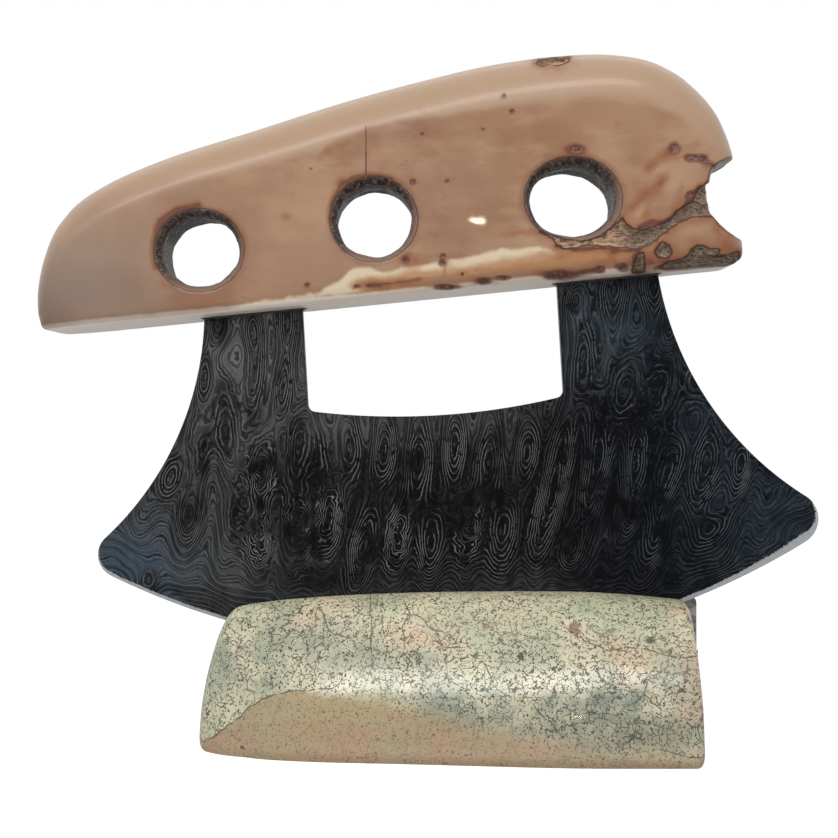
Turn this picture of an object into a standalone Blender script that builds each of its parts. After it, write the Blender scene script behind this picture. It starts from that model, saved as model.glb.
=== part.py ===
"""Ulu knife: a finger-holed handle, a blade on two glued tangs and a slotted stand."""
import math

import bmesh
import bpy
import numpy as np
from mathutils import Matrix, Vector

# All lengths are in metres. The stand's slot runs along X, the front faces -Y, and Z is up.

# Clearances and cutting
fit_gap = 0.0003                  # left between pieces that touch on the real knife
cut_overrun = 0.004               # how far a cutter runs past the face that it opens
weld_distance = 0.000001          # closes the seams of a filled outline
least_step = 0.000000001          # keeps two equal rows of a table from dividing by zero

# Stand
base_length = 0.0992              # along the slot, at the underside
base_height = 0.0306              # underside to the crown of the top
base_half_depth = 0.0240          # slot's middle to the widest front edge
left_end_half_depth = 0.0060      # the same at the narrow left end
left_end_lean = 0.0070            # how far the left end curves in at the crown
right_end_step = 0.0026           # how much shorter the front half is at the right end
slot_depth = 0.0121               # crown to slot floor
knife_offset = -0.0045            # where along the slot the edge's lowest point stands

# Blade
blade_thickness = 0.0028
edge_radius = 0.1438              # radius of the cutting edge
edge_land = 0.0004                # flat left between the two ground bevels
left_tip_round = 0.0047
right_tip_round = 0.0054
left_side_radius = 0.0618         # hollow side below the left tang
right_side_radius = 0.0645
left_side_level = 0.0739          # height of the hollow's centre above the middle of the edge
right_side_level = 0.0791
neck_span = 0.0902                # outer side of one tang to the outer side of the other
neck_offset = -0.0036             # middle of the tangs, beside the middle of the edge
left_tang_width = 0.0194
right_tang_width = 0.0198
sill_height = 0.0468              # middle of the edge to the lowest point of the grip window
sill_radius = 0.140
window_corner_round = 0.0015

# Tang inside the handle
shoulder_depth = 0.0022           # how far the full width of a tang goes into the handle
shoulder_step = 0.0011            # how much narrower the tenon is, at the tang's free side
tenon_height = 0.0180
tenon_wall = 0.0024               # tenon to the side of the nearest finger hole
bond_wall = 0.0004                # thickness of the set glue round a tang
key_radius = 0.0009               # plug of glue through each tenon

# Handle
handle_seat_height = 0.0706       # middle of the edge to the handle's underside
handle_height = 0.0450
handle_half_thickness = 0.0110
handle_overhang_left = 0.0321     # past the left tang
handle_overhang_right = 0.0170    # past the right tang
top_round = 0.0110                # how far down the face the rounded top reaches
end_round = 0.0050                # how far in from each end the face stops
lower_chamfer = 0.0038            # height of the worn lower edge at the right end
lower_chamfer_depth = 0.0030      # how far that edge has worn back
finger_hole_radius = 0.0078
hole_floor = 0.0043               # underside to the lowest of the finger holes
broken_hole_setback = 0.0012      # how far past the right end the broken hole has its centre

# Angles
knife_lean = math.radians(3.32)   # how far the knife has rocked round its edge
handle_tilt = math.radians(2.3)   # handle against the line of the tips
smooth_angle = math.radians(32)

# Shapes as shares of the sizes that they follow
# Handle silhouette: share of its length from the left end, share of its height
handle_outline_shares = (
    (0.0200, 0.0000), (0.0070, 0.0110), (0.0010, 0.0500), (0.0000, 0.1230), (0.0055, 0.2250),
    (0.0165, 0.3300), (0.0475, 0.4930), (0.0750, 0.5690), (0.1210, 0.6400), (0.1920, 0.7110),
    (0.3320, 0.8050), (0.4700, 0.8960), (0.5740, 0.9500), (0.6780, 0.9910), (0.7660, 1.0000),
    (0.8330, 0.9880), (0.8830, 0.9530), (0.9210, 0.8900), (0.9530, 0.7960), (0.9760, 0.6950),
    (0.9890, 0.5930), (0.9970, 0.4870), (1.0000, 0.2900), (0.9990, 0.0900), (0.9940, 0.0230),
    (0.9840, 0.0000),
)
# Finger holes: place as a share of half the neck span, rise above the lowest hole as a share of
# the hole radius, and width and height as shares of that radius
finger_hole_shares = (
    (-0.954, 0.00, 1.00, 1.00),
    (-0.213, 0.31, 1.03, 1.02),
    (0.640, 0.32, 1.12, 1.02),
)
broken_hole_rise_share = 0.11
roundover_top_share = 0.97        # how much of the half thickness the rounded top takes
roundover_end_share = 0.62
lower_chamfer_start_share = 0.26  # how much of the lower chamfer the left end has
key_height_share = 0.62           # height of the glue key on the tenon
# Stand: share of its length from the left end, share of the way from the left end's half depth
# to the widest one, and share of the height
base_station_shares = (
    (0.000, 0.00, 0.840), (0.008, 0.07, 0.865), (0.020, 0.14, 0.890), (0.038, 0.24, 0.907),
    (0.060, 0.33, 0.920), (0.100, 0.43, 0.940), (0.145, 0.55, 0.956), (0.250, 0.68, 0.978),
    (0.400, 0.77, 0.994), (0.560, 0.88, 1.000), (0.680, 0.96, 1.000), (0.790, 1.00, 0.991),
    (0.900, 1.00, 0.965), (0.970, 1.00, 0.937), (0.990, 0.99, 0.912), (1.000, 0.96, 0.885),
)
# Half of the stand's section, from the crown down: share of the half depth, share of the height
base_section_shares = (
    (0.00, 1.000), (0.14, 0.995), (0.30, 0.955), (0.44, 0.875), (0.56, 0.775), (0.68, 0.665),
    (0.79, 0.545), (0.885, 0.410), (0.950, 0.260), (0.985, 0.110), (1.00, 0.035), (0.985, 0.000),
)

# Steps along round stretches
outline_steps = 4
roundover_steps = 6
edge_steps = 72
side_steps = 20
corner_steps = 6
sill_steps = 24
hole_sides = 48
key_sides = 16
base_steps = 2

# Sizes that follow from the ones above
half_blade = blade_thickness / 2
neck_left = neck_offset - neck_span / 2
neck_right = neck_offset + neck_span / 2
slot_floor = base_height - slot_depth
rocking_height = slot_floor + fit_gap + edge_radius
bond_clearance = fit_gap + bond_wall + fit_gap


def clear_scene():
    """Remove every object, so that the knife stands alone."""
    for old in list(bpy.data.objects):
        bpy.data.objects.remove(old, do_unlink=True)


def new_collection(name):
    """Add a collection to the scene and return it."""
    collection = bpy.data.collections.new(name)
    bpy.context.scene.collection.children.link(collection)
    return collection


def new_material(name, colour, roughness, metallic):
    """Return a Principled material with one plain finish."""
    material = bpy.data.materials.new(name)
    material.use_nodes = True
    shader = material.node_tree.nodes["Principled BSDF"]
    shader.inputs["Base Color"].default_value = (*colour, 1.0)
    shader.inputs["Roughness"].default_value = roughness
    shader.inputs["Metallic"].default_value = metallic
    material.diffuse_color = (*colour, 1.0)
    return material


def place(name, mesh, collection, parent=None, material=None):
    """Put a mesh in the scene as one named object."""
    piece = bpy.data.objects.new(name, mesh)
    collection.objects.link(piece)
    piece.parent = parent
    if material:
        mesh.materials.append(material)
        mesh.shade_smooth()
        mesh.set_sharp_from_angle(angle=smooth_angle)
    else:
        piece.hide_render = True
        piece.display_type = "WIRE"
    return piece


def finish_mesh(name, bm):
    """Turn a bmesh into a mesh whose faces all point outwards."""
    bmesh.ops.recalc_face_normals(bm, faces=bm.faces)
    mesh = bpy.data.meshes.new(name)
    bm.to_mesh(mesh)
    bm.free()
    return mesh


def cut(piece, cutter, operation="DIFFERENCE"):
    """Cut a piece with another solid, or join the two."""
    modifier = piece.modifiers.new(cutter.name, "BOOLEAN")
    modifier.operation = operation
    modifier.object = cutter
    modifier.solver = "EXACT"


def box_mesh(name, low, high):
    """A box between two corners."""
    low = Vector(low)
    high = Vector(high)
    bm = bmesh.new()
    scale = Matrix.Diagonal((*(high - low), 1))
    bmesh.ops.create_cube(bm, size=1, matrix=Matrix.Translation((low + high) / 2) @ scale)
    return finish_mesh(name, bm)


def cross_cylinder_mesh(name, across, up, width_radius, height_radius, half_length, sides):
    """A round or oval cylinder along Y, through the point (across, up)."""
    bm = bmesh.new()
    turn = Matrix.Rotation(math.radians(90), 4, "X")
    scale = Matrix.Diagonal((width_radius, 1, height_radius, 1))
    move = Matrix.Translation((across, 0, up))
    bmesh.ops.create_cone(
        bm, cap_ends=True, segments=sides, radius1=1, radius2=1, depth=2 * half_length,
        matrix=move @ scale @ turn)
    return finish_mesh(name, bm)


def plate_mesh(name, outline, half_thickness):
    """Fill a flat outline in the XZ plane and thicken it along Y, with each face left whole."""
    curve = bpy.data.curves.new(name, "CURVE")
    curve.dimensions = "2D"
    curve.fill_mode = "BOTH"
    curve.extrude = half_thickness
    spline = curve.splines.new("POLY")
    spline.points.add(len(outline) - 1)
    for point, (across, up) in zip(spline.points, outline):
        point.co = (across, up, 0, 1)
    spline.use_cyclic_u = True
    holder = bpy.data.objects.new(name, curve)
    bpy.context.scene.collection.objects.link(holder)
    evaluated = holder.evaluated_get(bpy.context.evaluated_depsgraph_get())
    filled = bpy.data.meshes.new_from_object(evaluated)
    bm = bmesh.new()
    bm.from_mesh(filled)
    bpy.data.objects.remove(holder, do_unlink=True)
    bmesh.ops.remove_doubles(bm, verts=bm.verts, dist=weld_distance)
    for side in (1, -1):
        cap = [face for face in bm.faces if face.normal.z * side > 0.5]
        bmesh.ops.dissolve_faces(bm, faces=cap)
    bmesh.ops.rotate(bm, verts=bm.verts, matrix=Matrix.Rotation(math.radians(90), 3, "X"))
    return finish_mesh(name, bm)


def loft_mesh(name, rings):
    """Skin a row of closed rings and close both ends."""
    bm = bmesh.new()
    loops = [[bm.verts.new(point) for point in ring] for ring in rings]
    for first, second in zip(loops, loops[1:]):
        for here in range(len(first)):
            after = (here + 1) % len(first)
            bm.faces.new((first[here], first[after], second[after], second[here]))
    bm.faces.new(loops[0])
    bm.faces.new(reversed(loops[-1]))
    return finish_mesh(name, bm)


def smooth_line(rows, steps):
    """A smooth line through hand-chosen rows, with the given steps between each two."""
    rows = np.array(rows, dtype=float)
    before = 2 * rows[0] - rows[1]
    after = 2 * rows[-1] - rows[-2]
    rows = np.vstack([before, rows, after])
    line = []
    for first, second, third, fourth in zip(rows, rows[1:], rows[2:], rows[3:]):
        knots = [0.0]
        for start, end in ((first, second), (second, third), (third, fourth)):
            knots.append(knots[-1] + max(np.linalg.norm(end - start), least_step) ** 0.5)
        for share in np.linspace(0, 1, steps, endpoint=False):
            here = knots[1] + share * (knots[2] - knots[1])
            level = [first, second, third, fourth]
            for depth in (1, 2, 3):
                level = blend_level(level, knots, here, depth)
            line.append(level[0])
    line.append(rows[-2])
    return line


def blend_level(level, knots, here, depth):
    """One round of the smooth line's blending between neighbouring rows."""
    blended = []
    for index in range(len(level) - 1):
        start, end = (knots[index], knots[index + depth])
        if depth == 3:
            start, end = (knots[1], knots[2])
        share = (here - start) / (end - start)
        blended.append((1 - share) * level[index] + share * level[index + 1])
    return blended


def arc(centre, radius, start, end, steps):
    """Points along a circular arc between two angles."""
    angles = np.linspace(start, end, steps + 1)
    return [(centre[0] + radius * math.cos(a), centre[1] + radius * math.sin(a)) for a in angles]


def angle_to(centre, point):
    """Direction from one point to another."""
    return math.atan2(point[1] - centre[1], point[0] - centre[0])


def circles_meet(first, first_radius, second, second_radius, side):
    """Where two circles cross: side 1 is the point to the left on the way from first to second."""
    span = math.dist(first, second)
    along = (span ** 2 + first_radius ** 2 - second_radius ** 2) / (2 * span)
    off = side * math.sqrt(first_radius ** 2 - along ** 2)
    across = ((second[0] - first[0]) / span, (second[1] - first[1]) / span)
    return (first[0] + along * across[0] - off * across[1],
            first[1] + along * across[1] + off * across[0])


def from_handle(across, up):
    """Turn a point of the handle's own plane into the blade's plane."""
    return (neck_offset + across * math.cos(handle_tilt) - up * math.sin(handle_tilt),
            handle_seat_height + across * math.sin(handle_tilt) + up * math.cos(handle_tilt))


def along_handle(across, up):
    """Turn a point of the blade's plane into its distance along the handle's underside."""
    from_seat = (across - neck_offset, up - handle_seat_height)
    return from_seat[0] * math.cos(handle_tilt) + from_seat[1] * math.sin(handle_tilt)


def underside_height(across):
    """Height of the handle's underside above the middle of the edge."""
    return handle_seat_height + (across - neck_offset) * math.tan(handle_tilt)


def finger_holes():
    """Place and half sizes of each finger hole, in the handle's plane."""
    holes = []
    for place_share, rise_share, width_share, height_share in finger_hole_shares:
        half_width = finger_hole_radius * width_share
        half_height = finger_hole_radius * height_share
        across = place_share * neck_span / 2
        up = hole_floor + rise_share * finger_hole_radius + half_height
        holes.append((across, up, half_width, half_height))
    return holes


def side_circle(side):
    """Centre and radius of the hollow side on the left (-1) or the right (1)."""
    if side < 0:
        return (neck_left - left_side_radius, left_side_level), left_side_radius
    return (neck_right + right_side_radius, right_side_level), right_side_radius


def neck_corner(side):
    """Where a tang's outer side reaches the handle's underside, in the blade's plane."""
    centre, radius = side_circle(side)
    neck = neck_left if side < 0 else neck_right
    up = underside_height(neck)
    across = centre[0] - side * math.sqrt(radius ** 2 - (centre[1] - up) ** 2)
    return (across, up)


def tangs():
    """Both tangs along the handle: outer and inner limits of the tang and of its tenon."""
    left_hole, middle_hole, right_hole = finger_holes()
    left_inner = neck_left + left_tang_width
    right_inner = neck_right - right_tang_width
    left_low = along_handle(*neck_corner(-1))
    left_high = along_handle(left_inner, underside_height(left_inner))
    right_low = along_handle(right_inner, underside_height(right_inner))
    right_high = along_handle(*neck_corner(1))
    left_tenon_low = left_hole[0] + left_hole[2] + tenon_wall
    right_tenon_low = right_hole[0] + right_hole[2] + tenon_wall
    return {
        "left": (left_low, left_high, left_tenon_low, left_high - shoulder_step),
        "right": (right_low, right_high, right_tenon_low, right_high - shoulder_step),
    }


def tang_outline(limits, margin, foot):
    """Stepped outline of the hidden part of a tang, in the handle's plane, grown by a margin."""
    low, high, tenon_low, tenon_high = limits
    shoulder = shoulder_depth + margin
    top = tenon_height + margin
    return [
        (low - margin, foot), (low - margin, shoulder), (tenon_low - margin, shoulder),
        (tenon_low - margin, top), (tenon_high + margin, top), (tenon_high + margin, shoulder),
        (high + margin, shoulder), (high + margin, foot),
    ]


def blade_outline():
    """Outline of the blade, with across along the line of the tips and up from the edge's middle."""
    edge_centre = (0, edge_radius)
    tips = {}
    for side in (-1, 1):
        centre, radius = side_circle(side)
        tip_round = left_tip_round if side < 0 else right_tip_round
        tip = circles_meet(edge_centre, edge_radius - tip_round, centre, radius + tip_round, -side)
        tips[side] = (tip, centre, radius)
    left_tip, left_centre, left_radius = tips[-1]
    right_tip, right_centre, right_radius = tips[1]
    left_edge_angle = angle_to(edge_centre, left_tip)
    right_edge_angle = angle_to(edge_centre, right_tip)
    points = arc(edge_centre, edge_radius, left_edge_angle, right_edge_angle, edge_steps)

    # Round the right tip and climb the hollow side to the handle
    side_angle = angle_to(right_centre, right_tip)
    points += arc(right_tip, right_tip_round, right_edge_angle, side_angle + math.pi, corner_steps)[1:]
    neck_angle = angle_to(right_centre, neck_corner(1))
    start_angle = side_angle % (2 * math.pi)
    points += arc(right_centre, right_radius, start_angle, neck_angle % (2 * math.pi), side_steps)[1:]

    # Right tang, window and left tang
    hidden = tangs()
    right_side = [from_handle(*point) for point in tang_outline(hidden["right"], 0, 0)]
    left_side = [from_handle(*point) for point in tang_outline(hidden["left"], 0, 0)]
    points += list(reversed(right_side))[1:]
    left_wall = neck_left + left_tang_width
    right_wall = neck_right - right_tang_width
    sill_centre = ((left_wall + right_wall) / 2, sill_height + sill_radius)
    corners = []
    for wall, side in ((right_wall, 1), (left_wall, -1)):
        across = wall - side * window_corner_round
        reach = sill_radius - window_corner_round
        up = sill_centre[1] - math.sqrt(reach ** 2 - (across - sill_centre[0]) ** 2)
        corners.append(((across, up), angle_to(sill_centre, (across, up))))
    (right_corner, right_angle), (left_corner, left_angle) = corners
    points += arc(right_corner, window_corner_round, 0, right_angle, corner_steps)
    points += arc(sill_centre, sill_radius, right_angle, left_angle, sill_steps)[1:-1]
    points += arc(left_corner, window_corner_round, left_angle, -math.pi, corner_steps)
    points += list(reversed(left_side))[:-1]

    # Down the left hollow side and round the left tip
    neck_angle = angle_to(left_centre, neck_corner(-1))
    side_angle = angle_to(left_centre, left_tip)
    points += arc(left_centre, left_radius, neck_angle, side_angle, side_steps)
    start_angle = side_angle + math.pi
    end_angle = left_edge_angle % (2 * math.pi)
    points += arc(left_tip, left_tip_round, start_angle, end_angle, corner_steps)[1:-1]
    return points


def grind_edge(mesh):
    """Mark both long corners of the cutting edge for their ground bevel."""
    weights = mesh.attributes.new("bevel_weight_edge", "FLOAT", "EDGE")
    for edge in mesh.edges:
        ends = [mesh.vertices[index].co for index in edge.vertices]
        off_edge = [abs(math.hypot(end.x, end.z - edge_radius) - edge_radius) for end in ends]
        if max(off_edge) < 10 * weld_distance and abs(ends[0].y - ends[1].y) < weld_distance:
            weights.data[edge.index].value = 1.0


def handle_rings():
    """Rings of the handle, from its front face over the rounded edges to its back face."""
    length = neck_span + handle_overhang_left + handle_overhang_right
    left_end = -neck_span / 2 - handle_overhang_left
    outline = [(left_end + row[0] * length, row[1] * handle_height)
               for row in smooth_line(handle_outline_shares, outline_steps)]
    middle = left_end + length / 2
    face_share = 1 - end_round / (length / 2)
    rings = []
    for side in (-1, 1):
        for step in range(roundover_steps + 1):
            share = step / roundover_steps if side > 0 else 1 - step / roundover_steps
            turn = share * math.pi / 2
            ring = []
            for index, (across, up) in enumerate(outline):
                before = outline[index - 1]
                after = outline[(index + 1) % len(outline)]
                run = math.dist(before, after)
                upward = (after[0] - before[0]) / run
                outward = (after[1] - before[1]) / run
                depth = handle_half_thickness * (
                    roundover_top_share * max(upward, 0) ** 2 + roundover_end_share * outward ** 2)
                along_share = (across - left_end) / length
                wear = lower_chamfer_start_share + (1 - lower_chamfer_start_share) * along_share
                depth += wear * lower_chamfer_depth * max(-upward, 0) ** 2
                chamfer = wear * lower_chamfer
                face_across = middle + (across - middle) * face_share
                face_up = chamfer + up * (1 - (top_round + chamfer) / handle_height)
                inward = 1 - math.cos(turn)
                ring.append((
                    across + (face_across - across) * inward,
                    side * (handle_half_thickness - depth * (1 - math.sin(turn))),
                    up + (face_up - up) * inward))
            rings.append(ring)
    return rings


def base_rings():
    """Rings of the stand, from its left end to its right end, before the slot is cut."""
    half_section = smooth_line(base_section_shares, base_steps)
    front = [(-depth, height) for depth, height in half_section]
    back = [(depth, height) for depth, height in reversed(half_section[1:])]
    section = front + back
    rings = []
    for along, depth_share, height_share in smooth_line(base_station_shares, base_steps):
        half_depth = left_end_half_depth + depth_share * (base_half_depth - left_end_half_depth)
        ring = []
        for depth, height in section:
            y = depth * half_depth
            z = height * height_share * base_height
            left = -base_length / 2 + left_end_lean * (z / base_height) ** 2
            ring.append((left + (base_length / 2 - left) * along, y, z))
        rings.append(ring)
    return rings


def make_stand(pieces, cutters):
    """The half-round block with its saw-cut slot and its shorter front half."""
    polished_bone = new_material("pale_greenish_bone", (0.60, 0.58, 0.44), 0.28, 0.0)
    body = loft_mesh("stand_base", base_rings())
    stand = place("stand_base", body, pieces, material=polished_bone)
    half_slot = half_blade + fit_gap
    reach = base_length / 2 + cut_overrun
    top = base_height + cut_overrun
    slot = box_mesh("slot_cut", (-reach, -half_slot, slot_floor), (reach, half_slot, top))
    cut(stand, place("slot_cut", slot, cutters))
    step_start = base_length / 2 - right_end_step
    front = -base_half_depth - cut_overrun
    step = box_mesh("end_step", (step_start, front, -cut_overrun), (reach, 0, top))
    cut(stand, place("end_step", step, cutters))


def make_blade(pieces, cutters, rocking_centre):
    """The patterned steel plate, ground along its edge and drilled for the glue keys."""
    steel = new_material("etched_pattern_steel", (0.035, 0.037, 0.040), 0.38, 0.9)
    mesh = plate_mesh("blade", blade_outline(), half_blade)
    grind_edge(mesh)
    blade = place("blade", mesh, pieces, rocking_centre, steel)
    blade.location = (0, 0, -edge_radius)
    grind = blade.modifiers.new("ground_edge", "BEVEL")
    grind.limit_method = "WEIGHT"
    grind.offset_type = "OFFSET"
    grind.width = (blade_thickness - edge_land) / 2
    grind.segments = 1
    for name, (low, high, tenon_low, tenon_high) in tangs().items():
        across, up = from_handle((tenon_low + tenon_high) / 2, key_height_share * tenon_height)
        radius = key_radius + fit_gap
        reach = half_blade + cut_overrun
        hole_name = name + "_key_hole"
        hole = cross_cylinder_mesh(hole_name, across, up, radius, radius, reach, key_sides)
        cut(blade, place(hole_name, hole, cutters, blade))


def make_handle(pieces, cutters, seat):
    """The ivory slab with its finger holes, the broken hole at its end and two mortises."""
    ivory = new_material("polished_fossil_ivory", (0.42, 0.26, 0.15), 0.22, 0.0)
    handle = place("handle", loft_mesh("handle", handle_rings()), pieces, seat, ivory)
    reach = handle_half_thickness + cut_overrun
    holes = [(name, *hole) for name, hole in zip(("left", "middle", "right"), finger_holes())]
    broken_across = neck_span / 2 + handle_overhang_right + broken_hole_setback
    broken_up = hole_floor + (1 + broken_hole_rise_share) * finger_hole_radius
    holes.append(("broken", broken_across, broken_up, finger_hole_radius, finger_hole_radius))
    for name, across, up, half_width, half_height in holes:
        hole_name = name + "_hole"
        hole = cross_cylinder_mesh(
            hole_name, across, up, half_width, half_height, reach, hole_sides)
        cut(handle, place(hole_name, hole, cutters, handle))
    for name, limits in tangs().items():
        outline = tang_outline(limits, bond_clearance, -cut_overrun)
        mortise = plate_mesh(name + "_mortise", outline, half_blade + bond_clearance)
        cut(handle, place(name + "_mortise", mortise, cutters, handle))


def make_bond(name, limits, pieces, cutters, seat):
    """The set glue that fills a mortise round its tang, with a key through the tenon."""
    glue = new_material("dark_set_glue", (0.030, 0.022, 0.018), 0.35, 0.0)
    margin = fit_gap + bond_wall
    body = plate_mesh("tang_bond_" + name, tang_outline(limits, margin, 0), half_blade + margin)
    bond = place("tang_bond_" + name, body, pieces, seat, glue)
    hollow_outline = tang_outline(limits, fit_gap, -cut_overrun)
    hollow = plate_mesh(name + "_bond_hollow", hollow_outline, half_blade + fit_gap)
    cut(bond, place(name + "_bond_hollow", hollow, cutters, bond))
    low, high, tenon_low, tenon_high = limits
    across = (tenon_low + tenon_high) / 2
    up = key_height_share * tenon_height
    reach = half_blade + fit_gap + bond_wall / 2
    key = cross_cylinder_mesh(name + "_key", across, up, key_radius, key_radius, reach, key_sides)
    cut(bond, place(name + "_key", key, cutters, bond), "UNION")


def build_knife():
    """Make every piece and set the knife in its stand."""
    clear_scene()
    pieces = new_collection("ulu_knife")
    cutters = new_collection("cutters")
    make_stand(pieces, cutters)

    # The knife rocks on its round edge, so it turns about the centre of that edge
    rocking_centre = bpy.data.objects.new("knife_rocking_centre", None)
    rocking_centre.location = (knife_offset, 0, rocking_height)
    rocking_centre.rotation_euler = (0, -knife_lean, 0)
    pieces.objects.link(rocking_centre)
    make_blade(pieces, cutters, rocking_centre)

    # The handle sits across both tangs, a little out of line with the tips
    seat = bpy.data.objects.new("handle_seat", None)
    seat.parent = rocking_centre
    seat.location = (neck_offset, 0, handle_seat_height - edge_radius)
    seat.rotation_euler = (0, -handle_tilt, 0)
    pieces.objects.link(seat)
    make_handle(pieces, cutters, seat)
    for name, limits in tangs().items():
        make_bond(name, limits, pieces, cutters, seat)


build_knife()
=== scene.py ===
"""Looks of the ulu knife: a polished bone stand, a pattern-welded blade and a fossil ivory handle."""
import math

import bmesh
import bpy
import numpy as np
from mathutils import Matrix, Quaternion, Vector, noise
from mathutils.bvhtree import BVHTree
from mathutils.geometry import delaunay_2d_cdt


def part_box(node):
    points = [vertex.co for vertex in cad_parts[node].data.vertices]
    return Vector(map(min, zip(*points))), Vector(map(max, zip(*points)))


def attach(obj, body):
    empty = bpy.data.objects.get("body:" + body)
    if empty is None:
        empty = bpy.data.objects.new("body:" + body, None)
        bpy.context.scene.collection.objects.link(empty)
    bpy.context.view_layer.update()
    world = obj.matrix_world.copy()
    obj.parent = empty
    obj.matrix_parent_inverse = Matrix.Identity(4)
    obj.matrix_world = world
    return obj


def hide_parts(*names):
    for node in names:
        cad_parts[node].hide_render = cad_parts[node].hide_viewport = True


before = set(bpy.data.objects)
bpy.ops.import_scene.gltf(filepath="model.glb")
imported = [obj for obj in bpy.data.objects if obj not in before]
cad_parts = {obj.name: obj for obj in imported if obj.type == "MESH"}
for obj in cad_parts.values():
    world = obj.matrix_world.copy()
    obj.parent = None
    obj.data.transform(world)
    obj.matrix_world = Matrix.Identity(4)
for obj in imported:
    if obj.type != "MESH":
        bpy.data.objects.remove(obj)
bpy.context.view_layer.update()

# Camera
# It stands level in front of the slot, where the photograph was taken from. The marks on the bone,
# the steel and the ivory are placed by the pixels at which it sees them. Lengths are in metres.
camera_place = (-0.0062, -0.320, 0.065)
focal_length = 1600.0             # pixels
picture_side = 838                # pixels
straight_ahead = (419.0, 418.0)   # the pixel that the camera points at
sensor_width = 36.0               # millimetres

camera_data = bpy.data.cameras.new("camera")
camera_data.sensor_width = sensor_width
camera_data.lens = focal_length * sensor_width / picture_side
camera_data.shift_y = (straight_ahead[1] - picture_side / 2) / picture_side


def put_in_scene(name, data):
    """A new object in the scene, with a mesh, a lamp or a camera as its data."""
    made = bpy.data.objects.new(name, data)
    bpy.context.scene.collection.objects.link(made)
    return made


camera = put_in_scene("camera", camera_data)
camera.location = camera_place
camera.rotation_euler = (math.pi / 2, 0, 0)
bpy.context.scene.camera = camera


def seen_at(points):
    """Pixels at which the camera sees an array of points."""
    away = points[:, 1] - camera_place[1]
    across = straight_ahead[0] + focal_length * (points[:, 0] - camera_place[0]) / away
    down = straight_ahead[1] - focal_length * (points[:, 2] - camera_place[2]) / away
    return np.stack([across, down], axis=1)


# Stand
# A block of polished bone, half round in section, with a saw cut along its crown that holds the
# blade by its edge. Its left end is ground narrow and its front half stops short on the right.
stand_low, stand_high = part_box("stand_base")
stand_length = stand_high.x - stand_low.x
stand_height = stand_high.z
widest_half_depth = stand_high.y
narrow_half_depth = 0.0060        # at the left end
left_end_lean = 0.0070            # how far the left end curves in at the crown
front_setback = 0.0026            # how much sooner the front half ends on the right
slot_half_width = 0.0017
slot_floor = 0.0185               # above the underside
slot_lip_round = 0.0003
left_end_round = 0.0020
front_end_round = 0.0017
back_end_round = 0.0008
foot_corner_share = 1.25          # how much rounder the ends are at the foot
back_end_height = 0.945           # share of the height that the longer back half keeps
end_round_rings = 7
stand_rings = 230
front_end_rings = 4               # past the end of the front half
side_points = 88
lip_points = 4
slot_wall_points = 8
underside_points = 7
section_fineness = 240            # points of the smooth lines that the tables below become
station_fineness = 400
stand_smooth_angle = 40           # degrees, as the other smooth angles

# Share of the length from the left end, share of the way to the widest half depth, and share of
# the height
stand_station_shares = (
    (0, 0, .885), (.008, .07, .905), (.02, .14, .918), (.038, .24, .926), (.06, .33, .933),
    (.1, .43, .946), (.145, .55, .957), (.25, .68, .978), (.4, .77, .994), (.56, .88, 1),
    (.68, .96, 1), (.79, 1, .991), (.9, 1, .965), (.97, 1, .937), (.99, .99, .912), (1, .96, .885),
)
# Half of the section, from the crown down: share of the half depth, share of the height
stand_section_shares = (
    (0, 1), (.14, .995), (.3, .955), (.44, .875), (.56, .775), (.68, .665), (.79, .545),
    (.885, .41), (.95, .26), (.985, .11), (1, .035), (.985, 0),
)


def spread(line, count):
    """Evenly spaced points along a line."""
    walked = np.concatenate([[0], np.cumsum(np.linalg.norm(np.diff(line, axis=0), axis=1))])
    even = np.linspace(0, walked[-1], count)
    return np.stack([np.interp(even, walked, column) for column in line.T], axis=1)


def smooth_line(rows, count):
    """Evenly spaced points on a smooth line through the rows of a table."""
    rows = np.array(rows, dtype=float)
    chords = np.linalg.norm(np.diff(rows, axis=0), axis=1)
    place = np.concatenate([[0], np.cumsum(chords)])
    slope = np.gradient(rows, place, axis=0)
    steps_for_point = 4
    fine = np.linspace(0, place[-1], steps_for_point * count)
    first = np.clip(np.searchsorted(place, fine, side="right") - 1, 0, len(rows) - 2)
    span = (place[first + 1] - place[first])[:, None]
    share = (fine - place[first])[:, None] / span
    line = (2 * share ** 3 - 3 * share ** 2 + 1) * rows[first]
    line += (share ** 3 - 2 * share ** 2 + share) * span * slope[first]
    line += (3 * share ** 2 - 2 * share ** 3) * rows[first + 1]
    line += (share ** 3 - share ** 2) * span * slope[first + 1]
    return spread(line, count)


def solid_mesh(name, points, faces):
    """A mesh from points and faces, with its faces turned outwards."""
    mesh = bpy.data.meshes.new(name)
    mesh.from_pydata([tuple(point) for point in points], [],
                     [tuple(int(corner) for corner in face) for face in faces])
    bm = bmesh.new()
    bm.from_mesh(mesh)
    bmesh.ops.recalc_face_normals(bm, faces=bm.faces)
    bm.to_mesh(mesh)
    bm.free()
    return mesh


def mesh_points(mesh):
    """The places of a mesh's points, as rows of an array."""
    places = np.empty(3 * len(mesh.vertices))
    mesh.vertices.foreach_get("co", places)
    return places.reshape(-1, 3)


def keep_fields(mesh, **fields):
    """Store numbers for each point of a mesh under their names, for its material."""
    for name, values in fields.items():
        attribute = mesh.attributes.new(name, "FLOAT", "POINT")
        attribute.data.foreach_set("value", np.asarray(values, dtype=np.float32))


def add_piece(name, mesh, smooth_angle):
    """Put a mesh in the scene as one piece, shaded smooth up to an angle."""
    piece = put_in_scene(name, mesh)
    mesh.shade_smooth()
    mesh.set_sharp_from_angle(angle=math.radians(smooth_angle))
    return piece


def ring_faces(first, second):
    """Faces between two closed rings of point numbers."""
    return list(zip(first, np.roll(first, -1), np.roll(second, -1), second))


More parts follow.
